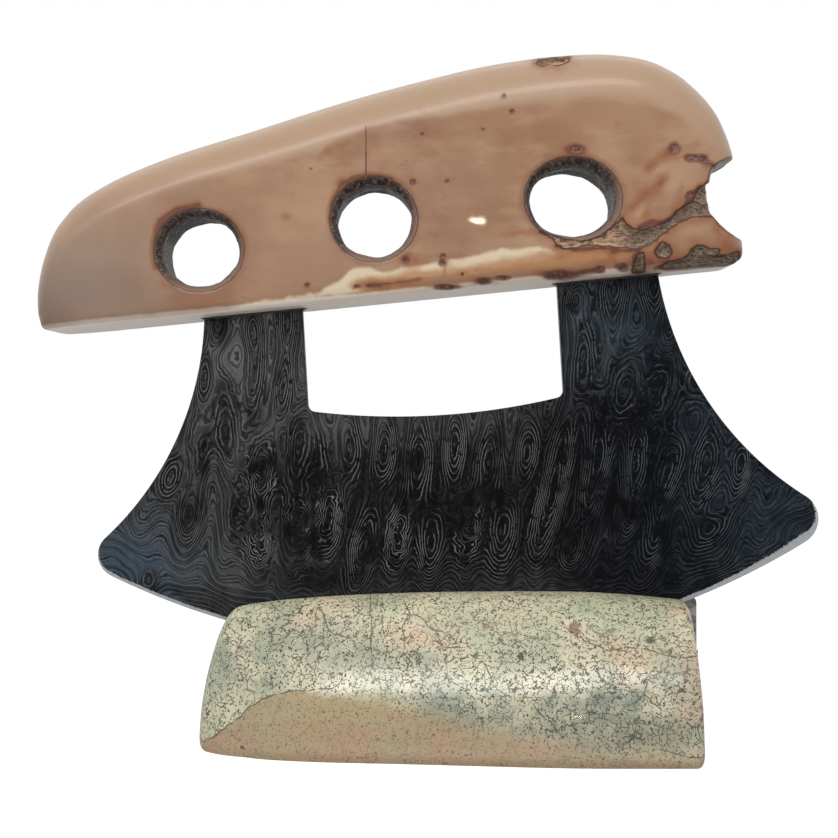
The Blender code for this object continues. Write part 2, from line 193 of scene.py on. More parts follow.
section = smooth_line(stand_section_shares, section_fineness)
section = section / section.max(axis=0)
stations = np.minimum(smooth_line(stand_station_shares, station_fineness), 1)


def half_section(half_depth, height, foot_lift):
    """Half of the stand's section, from the middle of the slot's floor to that of the underside."""
    line = section * (half_depth, height)
    lip = slot_half_width + slot_lip_round
    past = np.argmax(line[:, 0] > lip)
    lip_height = np.interp(lip, line[past - 1:past + 1, 0], line[past - 1:past + 1, 1])
    outer = spread(np.vstack([[lip, lip_height], line[past:]]), side_points)
    turn = np.linspace(math.pi / 2, 0, lip_points, endpoint=False)
    rounded = np.stack([lip - slot_lip_round * np.sin(turn),
                        lip_height - slot_lip_round * (1 - np.cos(turn))], axis=1)
    wall_height = np.linspace(slot_floor, rounded[0, 1], slot_wall_points, endpoint=False)
    wall = np.stack([np.full(slot_wall_points, slot_half_width), wall_height], axis=1)
    under = np.stack([np.linspace(outer[-1, 0], 0, underside_points), np.zeros(underside_points)],
                     axis=1)[1:]
    whole = np.vstack([[0, slot_floor], wall, rounded, outer, under])
    whole[:, 1] += foot_lift * whole[:, 0] / half_depth * (1 - whole[:, 1] / height)
    return whole


def rounded_places(start, end, start_round, end_round, rings):
    """Places of rings along a solid with rounded ends, and how far each is set in by them."""
    turn = np.linspace(0, math.pi / 2, end_round_rings)
    opening = start + start_round * (1 - np.cos(turn))
    closing = end - end_round * (1 - np.sin(turn))
    between = np.linspace(opening[-1], closing[0], rings)[1:-1]
    inset = [start_round * (1 - np.sin(turn)), np.zeros(rings - 2), end_round * (1 - np.cos(turn))]
    return np.concatenate([opening, between, closing]), np.concatenate(inset)


front_end = stand_length - front_setback
ring_places, front_insets = rounded_places(
    0, front_end, left_end_round, front_end_round, stand_rings)
back_insets = np.where(ring_places < front_end / 2, front_insets, 0)
past_places, past_insets = rounded_places(
    front_end, stand_length, 0, back_end_round, front_end_rings)
past_places = past_places[end_round_rings:]
past_insets = past_insets[end_round_rings:]
rings = []
for place, front_inset, back_inset in zip(
        np.concatenate([ring_places, past_places]),
        np.concatenate([front_insets, past_insets]),
        np.concatenate([back_insets, past_insets])):
    share = place / stand_length
    depth_share = np.interp(share, stations[:, 0], stations[:, 1])
    height = np.interp(share, stations[:, 0], stations[:, 2]) * stand_height
    half_depth = narrow_half_depth + depth_share * (widest_half_depth - narrow_half_depth)
    right_half = share > .5
    back_height = max(height, back_end_height * stand_height) if right_half else height
    front = half_section(
        half_depth - front_inset, height - front_inset, front_inset * foot_corner_share)
    back = half_section(
        half_depth - back_inset, back_height - back_inset, back_inset * foot_corner_share)
    front[:, 0] *= -1
    outline = np.vstack([front, back[-2:0:-1]])
    left = -stand_length / 2 + left_end_lean * (outline[:, 1] / stand_height) ** 2
    across = left + (stand_length / 2 - left) * share
    rings.append(np.column_stack([across, outline]))

# The first rings go all the way round, and those past the front half's end only round the back
stand_points = np.vstack(rings)
ring_size = len(rings[0])
underside_middle = len(front) - 1
numbers = np.arange(len(stand_points)).reshape(-1, ring_size)
whole_rings = len(ring_places)
stand_faces = [numbers[0]]
for first, second in zip(numbers[:whole_rings], numbers[1:whole_rings]):
    stand_faces += ring_faces(first, second)
stand_faces.append(numbers[whole_rings - 1][:underside_middle + 1])
back_half = list(range(underside_middle, ring_size)) + [0]
for first, second in zip(numbers[whole_rings - 1:], numbers[whole_rings:]):
    stand_faces += ring_faces(first[back_half], second[back_half])
stand_faces.append(numbers[-1][back_half])
used = np.zeros(len(stand_points), bool)
for face in stand_faces:
    used[list(face)] = True
new_number = np.cumsum(used) - 1
stand_faces = [new_number[list(face)] for face in stand_faces]
stand_mesh = solid_mesh("stand_bone", stand_points[used], stand_faces)
stand = add_piece("stand_bone", stand_mesh, stand_smooth_angle)


def beside(places, line):
    """Distance of each place from a line through points, and the same below zero on its left."""
    line = np.array(line, dtype=float)
    nearest = np.full(len(places), np.inf)
    signed = np.zeros(len(places))
    for start, end in zip(line, line[1:]):
        along = end - start
        share = np.clip((places - start) @ along / (along @ along), 0, 1)
        gap = places - start - share[:, None] * along
        away = np.hypot(gap[:, 0], gap[:, 1])
        side = np.sign(along[0] * gap[:, 1] - along[1] * gap[:, 0])
        signed = np.where(away < nearest, side * away, signed)
        nearest = np.minimum(nearest, away)
    return nearest, signed


def beyond_outline(places, outline):
    """Distance of each place outside a closed outline, and below zero inside it."""
    outline = np.array(outline, dtype=float)
    closed = np.vstack([outline, outline[:1]])
    within = np.zeros(len(places), bool)
    for (from_across, from_down), (to_across, to_down) in zip(closed, closed[1:]):
        if from_down == to_down:
            continue
        crosses = (from_down > places[:, 1]) != (to_down > places[:, 1])
        rise = (places[:, 1] - from_down) / (to_down - from_down)
        within ^= crosses & (places[:, 0] < from_across + rise * (to_across - from_across))
    away = beside(places, closed)[0]
    return np.where(within, -away, away)


def patches(places, rows):
    """Soft round patches: where each one is, how far it reaches both ways, and how strong it is."""
    total = np.zeros(len(places))
    for across, down, wide, tall, strength in rows:
        reach = ((places[:, 0] - across) / wide) ** 2 + ((places[:, 1] - down) / tall) ** 2
        total = np.maximum(total, strength * np.exp(-reach))
    return total


# Where the bone changes, in pixels of the photograph: across, down
peach_bone_outline = (
    (190, 750), (214, 736), (227, 726), (239, 717), (249, 707), (260, 701.5), (274, 694.5),
    (300, 691), (330, 692), (365, 698), (400, 705), (440, 715), (480, 726), (520, 736), (560, 743),
    (600, 748), (650, 753), (720, 757), (720, 800), (190, 800),
)
stand_cracks = (
    ((203, 741), (214, 736), (227, 726), (239, 717), (249, 707), (260, 701.5), (274, 694.5),
     (292, 691), (310, 690), (330, 688)),
    ((562, 622), (571, 632), (584, 641), (598, 645), (609, 651), (626, 647), (650, 650),
     (664, 655), (682, 657), (700, 656)),
    ((370, 597), (370, 612), (372, 625), (370, 638), (372, 652)),
    ((322, 609), (325, 620), (330, 632), (341, 636), (352, 640), (358, 650)),
    ((405, 603), (409, 614), (402, 626), (405, 640), (410, 655), (408, 668)),
    ((409, 614), (420, 617), (432, 629), (446, 633), (455, 640)),
    ((648, 682), (644, 694), (637, 702)),
    ((644, 694), (652, 701), (661, 709)),
    ((637, 722), (634, 736), (625, 737)),
    ((634, 736), (643, 741)),
    ((660, 749), (676, 754), (690, 757), (703, 757)),
    ((534, 706), (543, 716), (552, 723), (558, 732)),
    ((596, 668), (601, 678), (610, 684)),
    ((275, 628), (271, 635), (272, 641)),
    ((470, 655), (483, 662), (489, 674), (494, 684)),
    ((436, 640), (444, 647), (460, 647)),
)
red_stains = (
    (575, 629, 11, 9, 1), (487, 627, 10, 7, .7), (512, 622, 18, 5, .6), (437, 637, 9, 7, .5),
    (657, 700, 9, 12, .4), (446, 645, 14, 4, .5),
)
dark_stains = (
    (520, 657, 5, 6, 1), (650, 641, 8, 7, .8), (500, 640, 4, 4, .9), (637, 733, 5, 8, .5),
    (648, 690, 4, 8, .4), (275, 632, 4, 6, .5), (207.6, 714, 1.7, 1.7, 2), (242, 747, 1.6, 1.6, 2),
    (408, 606, 4, 4, .5), (543, 620, 4, 3, .4),
)
peach_patches = (
    (305, 617, 24, 12, .5), (430, 637, 34, 15, 1), (606, 646, 26, 13, .7), (500, 622, 34, 9, .6),
    (642, 664, 42, 17, .75), (694, 700, 18, 60, .8), (684, 612, 22, 16, .7), (340, 600, 22, 8, .5),
)
# Grey and olive patches: partly the bone's own tone, partly painted shade low on the front, where the
# light from above falls less
grey_patches = (
    (610, 712, 105, 44, 1.1), (470, 706, 80, 26, .9), (355, 650, 56, 24, .55),
    (560, 655, 60, 18, .35), (250, 655, 60, 44, .6), (420, 660, 40, 12, .4), (300, 645, 70, 46, .6),
)
olive_patches = (
    (650, 736, 70, 20, 1), (560, 728, 60, 12, .7), (690, 700, 20, 50, .5), (480, 722, 50, 8, .5),
)
stand_seen = seen_at(mesh_points(stand_mesh))
stand_front = mesh_points(stand_mesh)[:, 1] < 0
far_away = 60.0                   # pixels: a distance that no mark reaches
crack_away = np.full(len(stand_seen), np.inf)
crack_side = np.full(len(stand_seen), far_away)
for crack in stand_cracks:
    away, signed = beside(stand_seen, crack)
    closer = (np.abs(signed) < crack_away) & stand_front
    crack_away = np.where(closer, np.abs(signed), crack_away)
    crack_side = np.where(closer, signed, crack_side)
keep_fields(
    stand_mesh, crack_side=crack_side, crack_away=np.minimum(crack_away, far_away),
    peach_edge=beyond_outline(stand_seen, peach_bone_outline),
    red_stain=patches(stand_seen, red_stains) * stand_front,
    dark_stain=patches(stand_seen, dark_stains) * stand_front,
    peach_patch=patches(stand_seen, peach_patches), grey_patch=patches(stand_seen, grey_patches),
    olive_patch=patches(stand_seen, olive_patches))


class Field:
    """A socket of a node tree, on which Python's operators add Math nodes."""

    def __init__(self, tree, socket=None):
        self.tree = tree
        self.socket = socket

    def node(self, kind, sockets=None, output=0, **settings):
        """Add any other node: first its settings, then the values or links of its sockets."""
        made = self.tree.nodes.new(kind)
        for name, value in settings.items():
            setattr(made, name, value)
        for name, value in (sockets or {}).items():
            if isinstance(value, Field):
                self.tree.links.new(value.socket, made.inputs[name])
            else:
                made.inputs[name].default_value = value
        return Field(self.tree, made.outputs[output] if len(made.outputs) else None)

    def maths(self, operation, first, second=0.0):
        return self.node("ShaderNodeMath", {0: first, 1: second}, operation=operation)

    def __add__(self, other):
        return self.maths("ADD", self, other)

    def __radd__(self, other):
        return self.maths("ADD", other, self)

    def __sub__(self, other):
        return self.maths("SUBTRACT", self, other)

    def __rsub__(self, other):
        return self.maths("SUBTRACT", other, self)

    def __mul__(self, other):
        return self.maths("MULTIPLY", self, other)

    def __rmul__(self, other):
        return self.maths("MULTIPLY", other, self)

    def __truediv__(self, other):
        return self.maths("DIVIDE", self, other)

    def __abs__(self):
        return self.maths("ABSOLUTE", self)


def paint(red, green, blue):
    """A colour as it is seen, from 0 to 255, turned into the light that it sends back."""
    light = []
    for part in (red, green, blue):
        share = part / 255
        light.append(share / 12.92 if share <= 0.04045 else ((share + 0.055) / 1.055) ** 2.4)
    return (*light, 1.0)


def new_finish(name):
    """Start a material, and return it with its tree and the place on the piece."""
    material = bpy.data.materials.new(name)
    material.use_nodes = True
    material.node_tree.nodes.clear()
    start = Field(material.node_tree)
    return material, start, start.node("ShaderNodeTexCoord", output="Object")


def stored(start, name):
    """A field that was stored on the mesh."""
    return start.node("ShaderNodeAttribute", output="Fac", attribute_name=name)


def cloud(place, scale, detail=2.0, roughness=0.5, output="Fac"):
    """Soft noise round the middle value 0.5."""
    sockets = {"Vector": place, "Scale": scale, "Detail": detail, "Roughness": roughness}
    return place.node("ShaderNodeTexNoise", sockets, output=output)


def stir(place, scale, detail, reach, roughness=0.5):
    """Soft noise on both sides of zero, which makes an edge or a line ragged."""
    return (cloud(place, scale, detail, roughness) - .5) * reach


def ramp_up(value, low, high):
    """Go smoothly from 0 at one value to 1 at another, which may be the lower one."""
    sockets = {"Value": value, "From Min": low, "From Max": high}
    if low > high:
        sockets = {"Value": value, "From Min": high, "From Max": low, "To Min": 1.0, "To Max": 0.0}
    return value.node("ShaderNodeMapRange", sockets, interpolation_type="SMOOTHSTEP")


def tint(share, colour, other):
    """Blend one colour into another by a share. Three plain numbers are a colour as it is seen."""
    first, second = (paint(*part) if isinstance(part, tuple) and len(part) == 3 else part
                     for part in (colour, other))
    return share.node(
        "ShaderNodeMix", {0: share, 6: first, 7: second}, output=2, data_type="RGBA")


def coated(colour, *coats):
    """Blend further colours into a colour one after the other, each by a share of its own."""
    for share, other in coats:
        colour = tint(share, colour, other)
    return colour


def either(first, second):
    """The greater of two fields."""
    return first.maths("MAXIMUM", first, second)


def shifted(place, scale, reach):
    """Places moved about by soft noise, so that what is drawn at them wavers."""
    moved = place.node(
        "ShaderNodeVectorMath", {0: cloud(place, scale, output="Color"), 1: (0.5, 0.5, 0.5)},
        operation="SUBTRACT")
    moved = place.node("ShaderNodeVectorMath", {0: moved, "Scale": reach}, operation="SCALE")
    return place.node("ShaderNodeVectorMath", {0: place, 1: moved}, operation="ADD")


def stretched(place, shares):
    """Places scaled by a share for each direction, so that a pattern is drawn out along one."""
    return place.node("ShaderNodeVectorMath", {0: place, 1: shares}, operation="MULTIPLY")


def finish_surface(start, colour, roughness, bump=None, bump_height=0.0, **plain):
    """End a material in one Principled shader, with its plain values set on the shader itself."""
    sockets = {"Base Color": colour, "Roughness": roughness}
    if bump:
        sockets["Normal"] = start.node(
            "ShaderNodeBump", {"Height": bump, "Distance": bump_height, "Strength": 1.0})
    sockets.update({name.replace("_", " ").title(): value for name, value in plain.items()})
    shader = start.node("ShaderNodeBsdfPrincipled", sockets)
    start.node("ShaderNodeOutputMaterial", {"Surface": shader})


# Polished bone: pale greenish cream, full of dark pores and short cracks, with a tan zone low on
# the left where the bone is denser
bone_material, bone, place = new_finish("polished_bone")
wavering = shifted(place, 1200, .0009)
broad = cloud(place, 75, 4, .6)
fine = cloud(place, 420, 3)
across, depth_in, height = (
    bone.node("ShaderNodeSeparateXYZ", {0: place}, output=axis) for axis in "XYZ")
tan_width = 1.5 + 15 * ramp_up(across, -.030, -.006)
tan_edge = stored(bone, "peach_edge") + stir(place, 230, 3, tan_width * .9)
tan_zone = 1 - ramp_up(tan_edge / tan_width, -1, 1)
tan_grain = cloud(stretched(place, (1, 3, 3)), 70, 3)
tan = coated(
    (168, 143, 98), (ramp_up(height, .012, .003), (174, 142, 113)),
    (ramp_up(tan_grain, .38, .66) * .6, (164, 154, 120)))
# Painted shade low on the front, mixed with the bone's own grey and olive, comes from these patches
grey_zone = stored(bone, "grey_patch") * ramp_up(broad + fine * .3, .85, .55)
warm_zone = stored(bone, "peach_patch") * ramp_up(cloud(place, 160, 3), .32, .6)
olive_zone = stored(bone, "olive_patch") * (.8 + .4 * (fine - .5))
red = ramp_up(stored(bone, "red_stain") + stir(place, 520, 4, 1.6, .6), .38, .8)
dark = ramp_up(stored(bone, "dark_stain") + stir(place, 620, 4, 1.4, .6), .5, .8)
colour = coated(
    (190, 191, 160),
    (ramp_up(broad, .36, .62), (214, 206, 175)),
    (ramp_up(cloud(place, 130, 2), .5, .68) * .5, (172, 181, 150)),
    (grey_zone * .95, (109, 120, 107)),
    (warm_zone * .8, (216, 178, 148)),
    (tan_zone * .92, tan),
    (olive_zone, (136, 134, 112)),
    (red * .75, (128, 78, 64)),
    (dark * .9, (70, 60, 50)))

# Pores and short wavering cracks of several sizes, fewer in the tan zone
def cracks(scale, half_width, kept, waver=wavering):
    """Thin lines between the cells of a pattern, of which only some stretches are kept."""
    edge = bone.node("ShaderNodeTexVoronoi", {"Vector": waver, "Scale": scale},
                     output="Distance", feature="DISTANCE_TO_EDGE")
    wide = half_width * scale
    here = ramp_up(cloud(place, scale * 1.5, 2), 1 - kept, 1.05 - kept)
    return ramp_up(edge, wide, wide * .3) * here


def pores(scale, size, kept):
    """Dark dots of varied sizes, one in each cell that is kept."""
    dots = bone.node("ShaderNodeTexVoronoi", {"Vector": wavering, "Scale": scale}, output="Distance")
    size = ramp_up(cloud(place, scale * .9, 1), 1 - kept, 1.15 - kept) * size
    return ramp_up(dots - size, .05, -.08)


density = .74 + .26 * ramp_up(cloud(place, 150, 3) + stored(bone, "grey_patch") * .15, .40, .56)
squiggles = either(cracks(800, .00009, .50), cracks(450, .00009, .50))
squiggles = either(squiggles, cracks(250, .00010, .46))
marks = either(pores(1600, .27, .70), pores(620, .17, .74))
marks = either(marks, squiggles * (.95 - .45 * tan_zone)) * density * (1 - tan_zone * .35)
marks = either(marks, cracks(120, .00009, .45, shifted(place, 300, .004)) * .7 * (1 - tan_zone))
crack_line = abs(stored(bone, "crack_side") + stir(place, 600, 3, 6))
crack = ramp_up(crack_line, .95, .3) * ramp_up(stored(bone, "crack_away"), 6, 3)
marks = either(marks, crack * ramp_up(cloud(place, 500, 2), .32, .45) * .85)
mark_colour = tint(ramp_up(fine, .4, .6), (22, 28, 24), (50, 40, 30))
# The slot's walls, floor and lip are painted dull grey: partly the raw sawn bone, partly painted
# shade in the slot and along its lip
sawn = ramp_up(abs(depth_in), .0021, .0018) * ramp_up(height, .0170, .0184)
sawn_colour = tint(ramp_up(cloud(place, 900, 3), .42, .6), (96, 94, 92), (150, 149, 146))
colour = coated(colour, (marks * .95, mark_colour), (sawn * .85, sawn_colour))
finish_surface(
    bone, colour, .17 + .3 * marks + .06 * fine + .4 * sawn, bump=fine * .12 - marks,
    bump_height=.00005, coat_weight=.18, coat_roughness=.05)
stand_mesh.materials.append(bone_material)
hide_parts("stand_base")
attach(stand, "stand")


# Blade
# Pattern-welded steel plate, etched dark, with two tangs that run up into the handle. Its round
# edge and hollow sides are arcs, and a bright bevel is ground along the edge on both faces.
blade_half = 0.0014
edge_radius = 0.1438
edge_land_half = 0.0002
bevel_width = 0.0010
tip_bevel_extra = 0.0013          # how much wider the bevel is at the right tip
eased_corner = 0.00018            # how far every other corner is rubbed down
rocking_centre = (-0.0045, 0.1626)
knife_lean = math.radians(3.32)
handle_tilt = math.radians(2.3)
left_tip_round = 0.0047
right_tip_round = 0.0054
left_side_radius = 0.0618
right_side_radius = 0.0645
left_side_level = 0.0739
right_side_level = 0.0791
neck_left = -0.0487
neck_right = 0.0415
left_tang_width = 0.0194
right_tang_width = 0.0198
sill_height = 0.0468
sill_radius = 0.140
window_corner_round = 0.0015
handle_seat_height = 0.0706
shoulder_depth = 0.0022
tenon_height = 0.0180
# Along the handle's underside: the limits of each tang, and those of its hidden tenon
tang_limits = {"left": (-.0451, -.0257, -.0328, -.0268), "right": (.0253, .0451, .0400, .0440)}
outline_spacing = 0.0006
closest_points = 0.00002          # points of the outline that lie closer are joined
grid_spacing = 0.00046
wide_bevel = (0.035, 0.072)       # along the blade: where the wider bevel starts and is full
bevel_waver = 260                 # waves a metre in the bevel's width
bevel_unevenness = 0.12           # share of the width
grid_margin = 0.6 * grid_spacing  # how far the grid keeps from the rim
filled_inside = 1                 # the kind of filling that fills only the inside of an outline
same_point = 1e-7                 # points nearer than this are taken as one
blade_smooth_angle = 20


def arc(centre, radius, start, end):
    """Closely spaced points on a circular arc between two angles."""
    count = max(int(abs(end - start) * radius / outline_spacing), 5)
    angles = np.linspace(start, end, count + 1)
    return [(centre[0] + radius * math.cos(a), centre[1] + radius * math.sin(a)) for a in angles]


def angle_to(centre, point):
    """Direction from one point to another."""
    return math.atan2(point[1] - centre[1], point[0] - centre[0])


def circles_meet(first, first_radius, second, second_radius, side):
    """Where two circles cross: side 1 is the point to the left on the way from first to second."""
    span = math.dist(first, second)
    along = (span ** 2 + first_radius ** 2 - second_radius ** 2) / (2 * span)
    off = side * math.sqrt(first_radius ** 2 - along ** 2)
    toward = ((second[0] - first[0]) / span, (second[1] - first[1]) / span)
    return (first[0] + along * toward[0] - off * toward[1],
            first[1] + along * toward[1] + off * toward[0])


def underside_height(across):
    """Height of the handle's underside above the middle of the edge."""
    return handle_seat_height + (across - (neck_left + neck_right) / 2) * math.tan(handle_tilt)


def turned(origin, lean, across, up):
    """Where points of a plane lie when it is turned by an angle and its origin is moved."""
    sine, cosine = (math.sin(lean), math.cos(lean))
    return (origin[0] + across * cosine - up * sine, origin[1] + across * sine + up * cosine)


def from_handle(across, up):
    """Turn a point of the handle's own plane into the blade's plane."""
    return turned(((neck_left + neck_right) / 2, handle_seat_height), handle_tilt, across, up)


def tang_steps(side, margin, foot):
    """Stepped outline of the hidden part of a tang, in the handle's plane, grown by a margin."""
    low, high, tenon_low, tenon_high = tang_limits[side]
    shoulder = shoulder_depth + margin
    top = tenon_height + margin
    return [
        (low - margin, foot), (low - margin, shoulder), (tenon_low - margin, shoulder),
        (tenon_low - margin, top), (tenon_high + margin, top), (tenon_high + margin, shoulder),
        (high + margin, shoulder), (high + margin, foot),
    ]


def blade_outline():
    """Outline of the blade as it stands, with the share of the edge bevel at each point."""
    edge_centre = (0, edge_radius)
    sides = ((neck_left, left_side_radius, left_side_level, left_tip_round, -1),
             (neck_right, right_side_radius, right_side_level, right_tip_round, 1))
    ends = []
    for neck, radius, level, tip_round, side in sides:
        centre = (neck + side * radius, level)
        tip = circles_meet(edge_centre, edge_radius - tip_round, centre, radius + tip_round, -side)
        rise = centre[1] - underside_height(neck)
        corner = (centre[0] - side * math.sqrt(radius ** 2 - rise ** 2), underside_height(neck))
        ends.append((centre, radius, tip, tip_round, corner))
    (left_centre, left_radius, left_tip, left_round, left_corner) = ends[0]
    (right_centre, right_radius, right_tip, right_round, right_corner) = ends[1]
    left_edge = angle_to(edge_centre, left_tip)
    right_edge = angle_to(edge_centre, right_tip)
    edge = arc(edge_centre, edge_radius, left_edge, right_edge)
    shares = [1.0] * len(edge)

    # Round the right tip, up the hollow side and over the right tang
    turn = angle_to(right_centre, right_tip)
    tip = arc(right_tip, right_round, right_edge, turn + math.pi)[1:]
    shares += list(np.linspace(1, 0, len(tip)))
    rest = arc(right_centre, right_radius, turn % (2 * math.pi),
               angle_to(right_centre, right_corner) % (2 * math.pi))[1:]
    right_wall = neck_right - right_tang_width
    left_wall = neck_left + left_tang_width
    rest += [from_handle(*step) for step in reversed(tang_steps("right", 0, 0))][1:]

    # Down into the grip window, along its sill and over the left tang
    sill_centre = ((left_wall + right_wall) / 2, sill_height + sill_radius)
    reach = sill_radius - window_corner_round
    corners = []
    for wall, side in ((right_wall, 1), (left_wall, -1)):
        across = wall - side * window_corner_round
        up = sill_centre[1] - math.sqrt(reach ** 2 - (across - sill_centre[0]) ** 2)
        corners.append(((across, up), angle_to(sill_centre, (across, up))))
    (right_inner, right_angle), (left_inner, left_angle) = corners
    rest += arc(right_inner, window_corner_round, 0, right_angle)
    rest += arc(sill_centre, sill_radius, right_angle, left_angle)[1:-1]
    rest += arc(left_inner, window_corner_round, left_angle, -math.pi)
    rest += [from_handle(*step) for step in reversed(tang_steps("left", 0, 0))][:-1]
    turn = angle_to(left_centre, left_tip)
    rest += arc(left_centre, left_radius, angle_to(left_centre, left_corner), turn)
    shares += [0.0] * len(rest)
    last = arc(left_tip, left_round, turn + math.pi, left_edge % (2 * math.pi))[1:-1]
    shares += list(np.linspace(0, 1, len(last)))
    flat = np.array(edge + tip + rest + last)
    placed = turned(rocking_centre, knife_lean, flat[:, 0], flat[:, 1] - edge_radius)
    return np.stack(placed, axis=1), np.array(shares)


outline, bevel_share = blade_outline()
far_enough = np.linalg.norm(outline - np.roll(outline, 1, axis=0), axis=1) > closest_points
outline = outline[far_enough]
bevel_share = bevel_share[far_enough]
before = outline - np.roll(outline, 1, axis=0)
after = np.roll(outline, -1, axis=0) - outline
before /= np.linalg.norm(before, axis=1)[:, None]
after /= np.linalg.norm(after, axis=1)[:, None]
inward = np.stack([-(before + after)[:, 1], (before + after)[:, 0]], axis=1)
inward /= (inward * inward).sum(axis=1)[:, None] / 2
tip_share = np.clip((outline[:, 0] - wide_bevel[0]) / (wide_bevel[1] - wide_bevel[0]), 0, 1) ** 2
wobble = np.array([noise.noise((x * bevel_waver, 0, z * bevel_waver)) for x, z in outline])
bevel = bevel_width * (1 + bevel_unevenness * wobble) + tip_bevel_extra * tip_share
inset = eased_corner + bevel_share * (bevel - eased_corner)
rim_half = blade_half - eased_corner
rim_half = rim_half + bevel_share * (edge_land_half - rim_half)
inner = outline + inward * inset[:, None]

# The faces are filled over a fine grid, so that they can carry the layers of the steel
low, high = (inner.min(axis=0), inner.max(axis=0))
grid = np.stack(np.meshgrid(np.arange(low[0], high[0], grid_spacing),
                            np.arange(low[1], high[1], grid_spacing)), axis=-1)
grid[::2, :, 0] += grid_spacing / 2
grid = grid.reshape(-1, 2)
grid = grid[beyond_outline(grid, inner) < -grid_margin]
loop = list(range(len(inner)))
flat_points = [Vector(point) for point in np.vstack([inner, grid])]
filled = delaunay_2d_cdt(flat_points, [], [loop], filled_inside, same_point)
flat_points, triangles = (np.array(filled[0]), filled[2])
count = len(flat_points)
rim = len(outline)
front_face = np.column_stack([flat_points[:, 0], np.full(count, -blade_half), flat_points[:, 1]])
back_face = front_face * (1, -1, 1)
front_rim = np.column_stack([outline[:, 0], -rim_half, outline[:, 1]])
back_rim = front_rim * (1, -1, 1)
blade_points = np.vstack([front_face, back_face, front_rim, back_rim])
blade_faces = list(triangles)
blade_faces += [[count + corner for corner in reversed(face)] for face in triangles]
inner_numbers = np.zeros(rim, int)
for number, sources in enumerate(filled[3]):
    for source in sources:
        if source < rim:
            inner_numbers[source] = number
bands = (inner_numbers, 2 * count + np.arange(rim), 2 * count + rim + np.arange(rim),
         count + inner_numbers)
for first, second in zip(bands, bands[1:]):
    blade_faces += ring_faces(first, second)
blade_mesh = solid_mesh("patterned_blade", blade_points, blade_faces)
blade = add_piece("patterned_blade", blade_mesh, blade_smooth_angle)

# Nests of layers, in pixels of the photograph: across, down, half width, half height, lean to the
# right from foot to top, and how deep the layers are cut
layer_nests = (
    (219, 322, 11, 24, 0, 1), (254, 333, 8, 22, 0, .7), (285, 318, 11, 24, 0, 1),
    (226, 412, 12, 44, .04, .9), (258, 390, 11, 42, .05, .8), (285, 386, 9, 32, .05, .9),
    (172, 478, 9, 22, .25, 1), (190, 520, 12, 24, .05, 1), (262, 468, 20, 30, 0, 1.1),
    (150, 585, 12, 18, .1, .7), (240, 525, 12, 30, 0, .9), (262, 540, 13, 30, 0, 1),
    (297, 440, 12, 34, .05, 1), (320, 459, 12, 28, 0, .8), (300, 530, 13, 36, .06, 1.1),
    (330, 520, 12, 34, .05, 1.1), (363, 548, 12, 40, .15, 1), (353, 455, 10, 28, 0, .8),
    (386, 451, 10, 30, .03, .9), (396, 540, 12, 32, .1, 1.1), (421, 464, 12, 38, .03, 1),
    (429, 539, 13, 38, .12, 1), (457, 451, 12, 34, .02, 1), (465, 531, 13, 34, .12, 1.1),
    (491, 468, 12, 40, .05, 1), (500, 535, 14, 38, .08, 1), (529, 451, 10, 26, .1, .8),
    (542, 522, 13, 38, .15, .75), (561, 462, 12, 46, .16, .8), (586, 370, 13, 50, .04, 1.1),
    (597, 468, 12, 46, .2, .9), (571, 548, 9, 22, .2, .9), (612, 292, 15, 28, 0, 1),
    (651, 286, 12, 30, 0, .9), (572, 300, 8, 16, .1, .7), (621, 384, 14, 42, .06, 1),
    (657, 390, 12, 44, .02, 1.1), (638, 465, 10, 42, .05, 1), (628, 512, 7, 22, .1, .9),
    (671, 470, 10, 34, .3, .9), (706, 465, 14, 42, .2, 1), (741, 466, 9, 28, .2, .9),
    (204, 375, 8, 30, 0, .7), (205, 455, 9, 26, .1, .8), (655, 540, 11, 26, .2, .8),
    (692, 385, 9, 26, .1, .7), (711, 528, 12, 20, .4, .8),
)
# Where the layers zigzag, where black pools lie between them, and where the blade is darkest: partly
# deep etch, partly painted dark reflection
jagged_places = (
    (262, 540, 22, 34, 1), (305, 530, 26, 44, 1), (396, 540, 15, 34, .9), (468, 531, 17, 40, .9),
    (543, 522, 18, 46, .3), (262, 470, 26, 30, .8), (330, 500, 20, 30, .7), (640, 420, 26, 40, .4),
)
black_pools = (
    (258, 470, 16, 14, .7), (305, 480, 12, 30, .8), (320, 540, 22, 26, 1), (262, 505, 10, 12, .9),
    (400, 500, 12, 22, .9), (290, 520, 10, 30, .7), (540, 560, 30, 14, .7), (430, 500, 12, 18, .8),
    (500, 498, 10, 16, .8), (610, 500, 12, 40, .7), (655, 470, 8, 40, .6), (690, 440, 8, 30, .5),
    (470, 500, 10, 16, .7), (345, 470, 22, 26, .5), (395, 560, 10, 14, .8), (465, 560, 9, 16, .8),
    (560, 530, 10, 24, .6), (288, 382, 8, 20, .6),
)
darker_etch = (
    (430, 515, 140, 90, 1), (300, 490, 70, 60, .8), (560, 490, 60, 90, 1), (620, 570, 90, 40, .7),
    (620, 470, 70, 90, 1), (320, 578, 70, 24, .8), (255, 590, 60, 24, .2), (690, 540, 40, 40, .6),
)
# Painted reflections of the surroundings: a cool blue sheen, and a lighter grey sheen after it
cooler_etch = (
    (118, 572, 66, 46, 1), (775, 520, 60, 50, .3), (705, 465, 50, 80, .2), (605, 325, 45, 66, .42),
)
lighter_etch = (
    (250, 350, 60, 80, 1), (180, 560, 90, 60, .5), (640, 320, 40, 40, .35), (250, 440, 60, 60, .4),
    (345, 430, 70, 22, .6), (430, 425, 60, 16, .4),
)
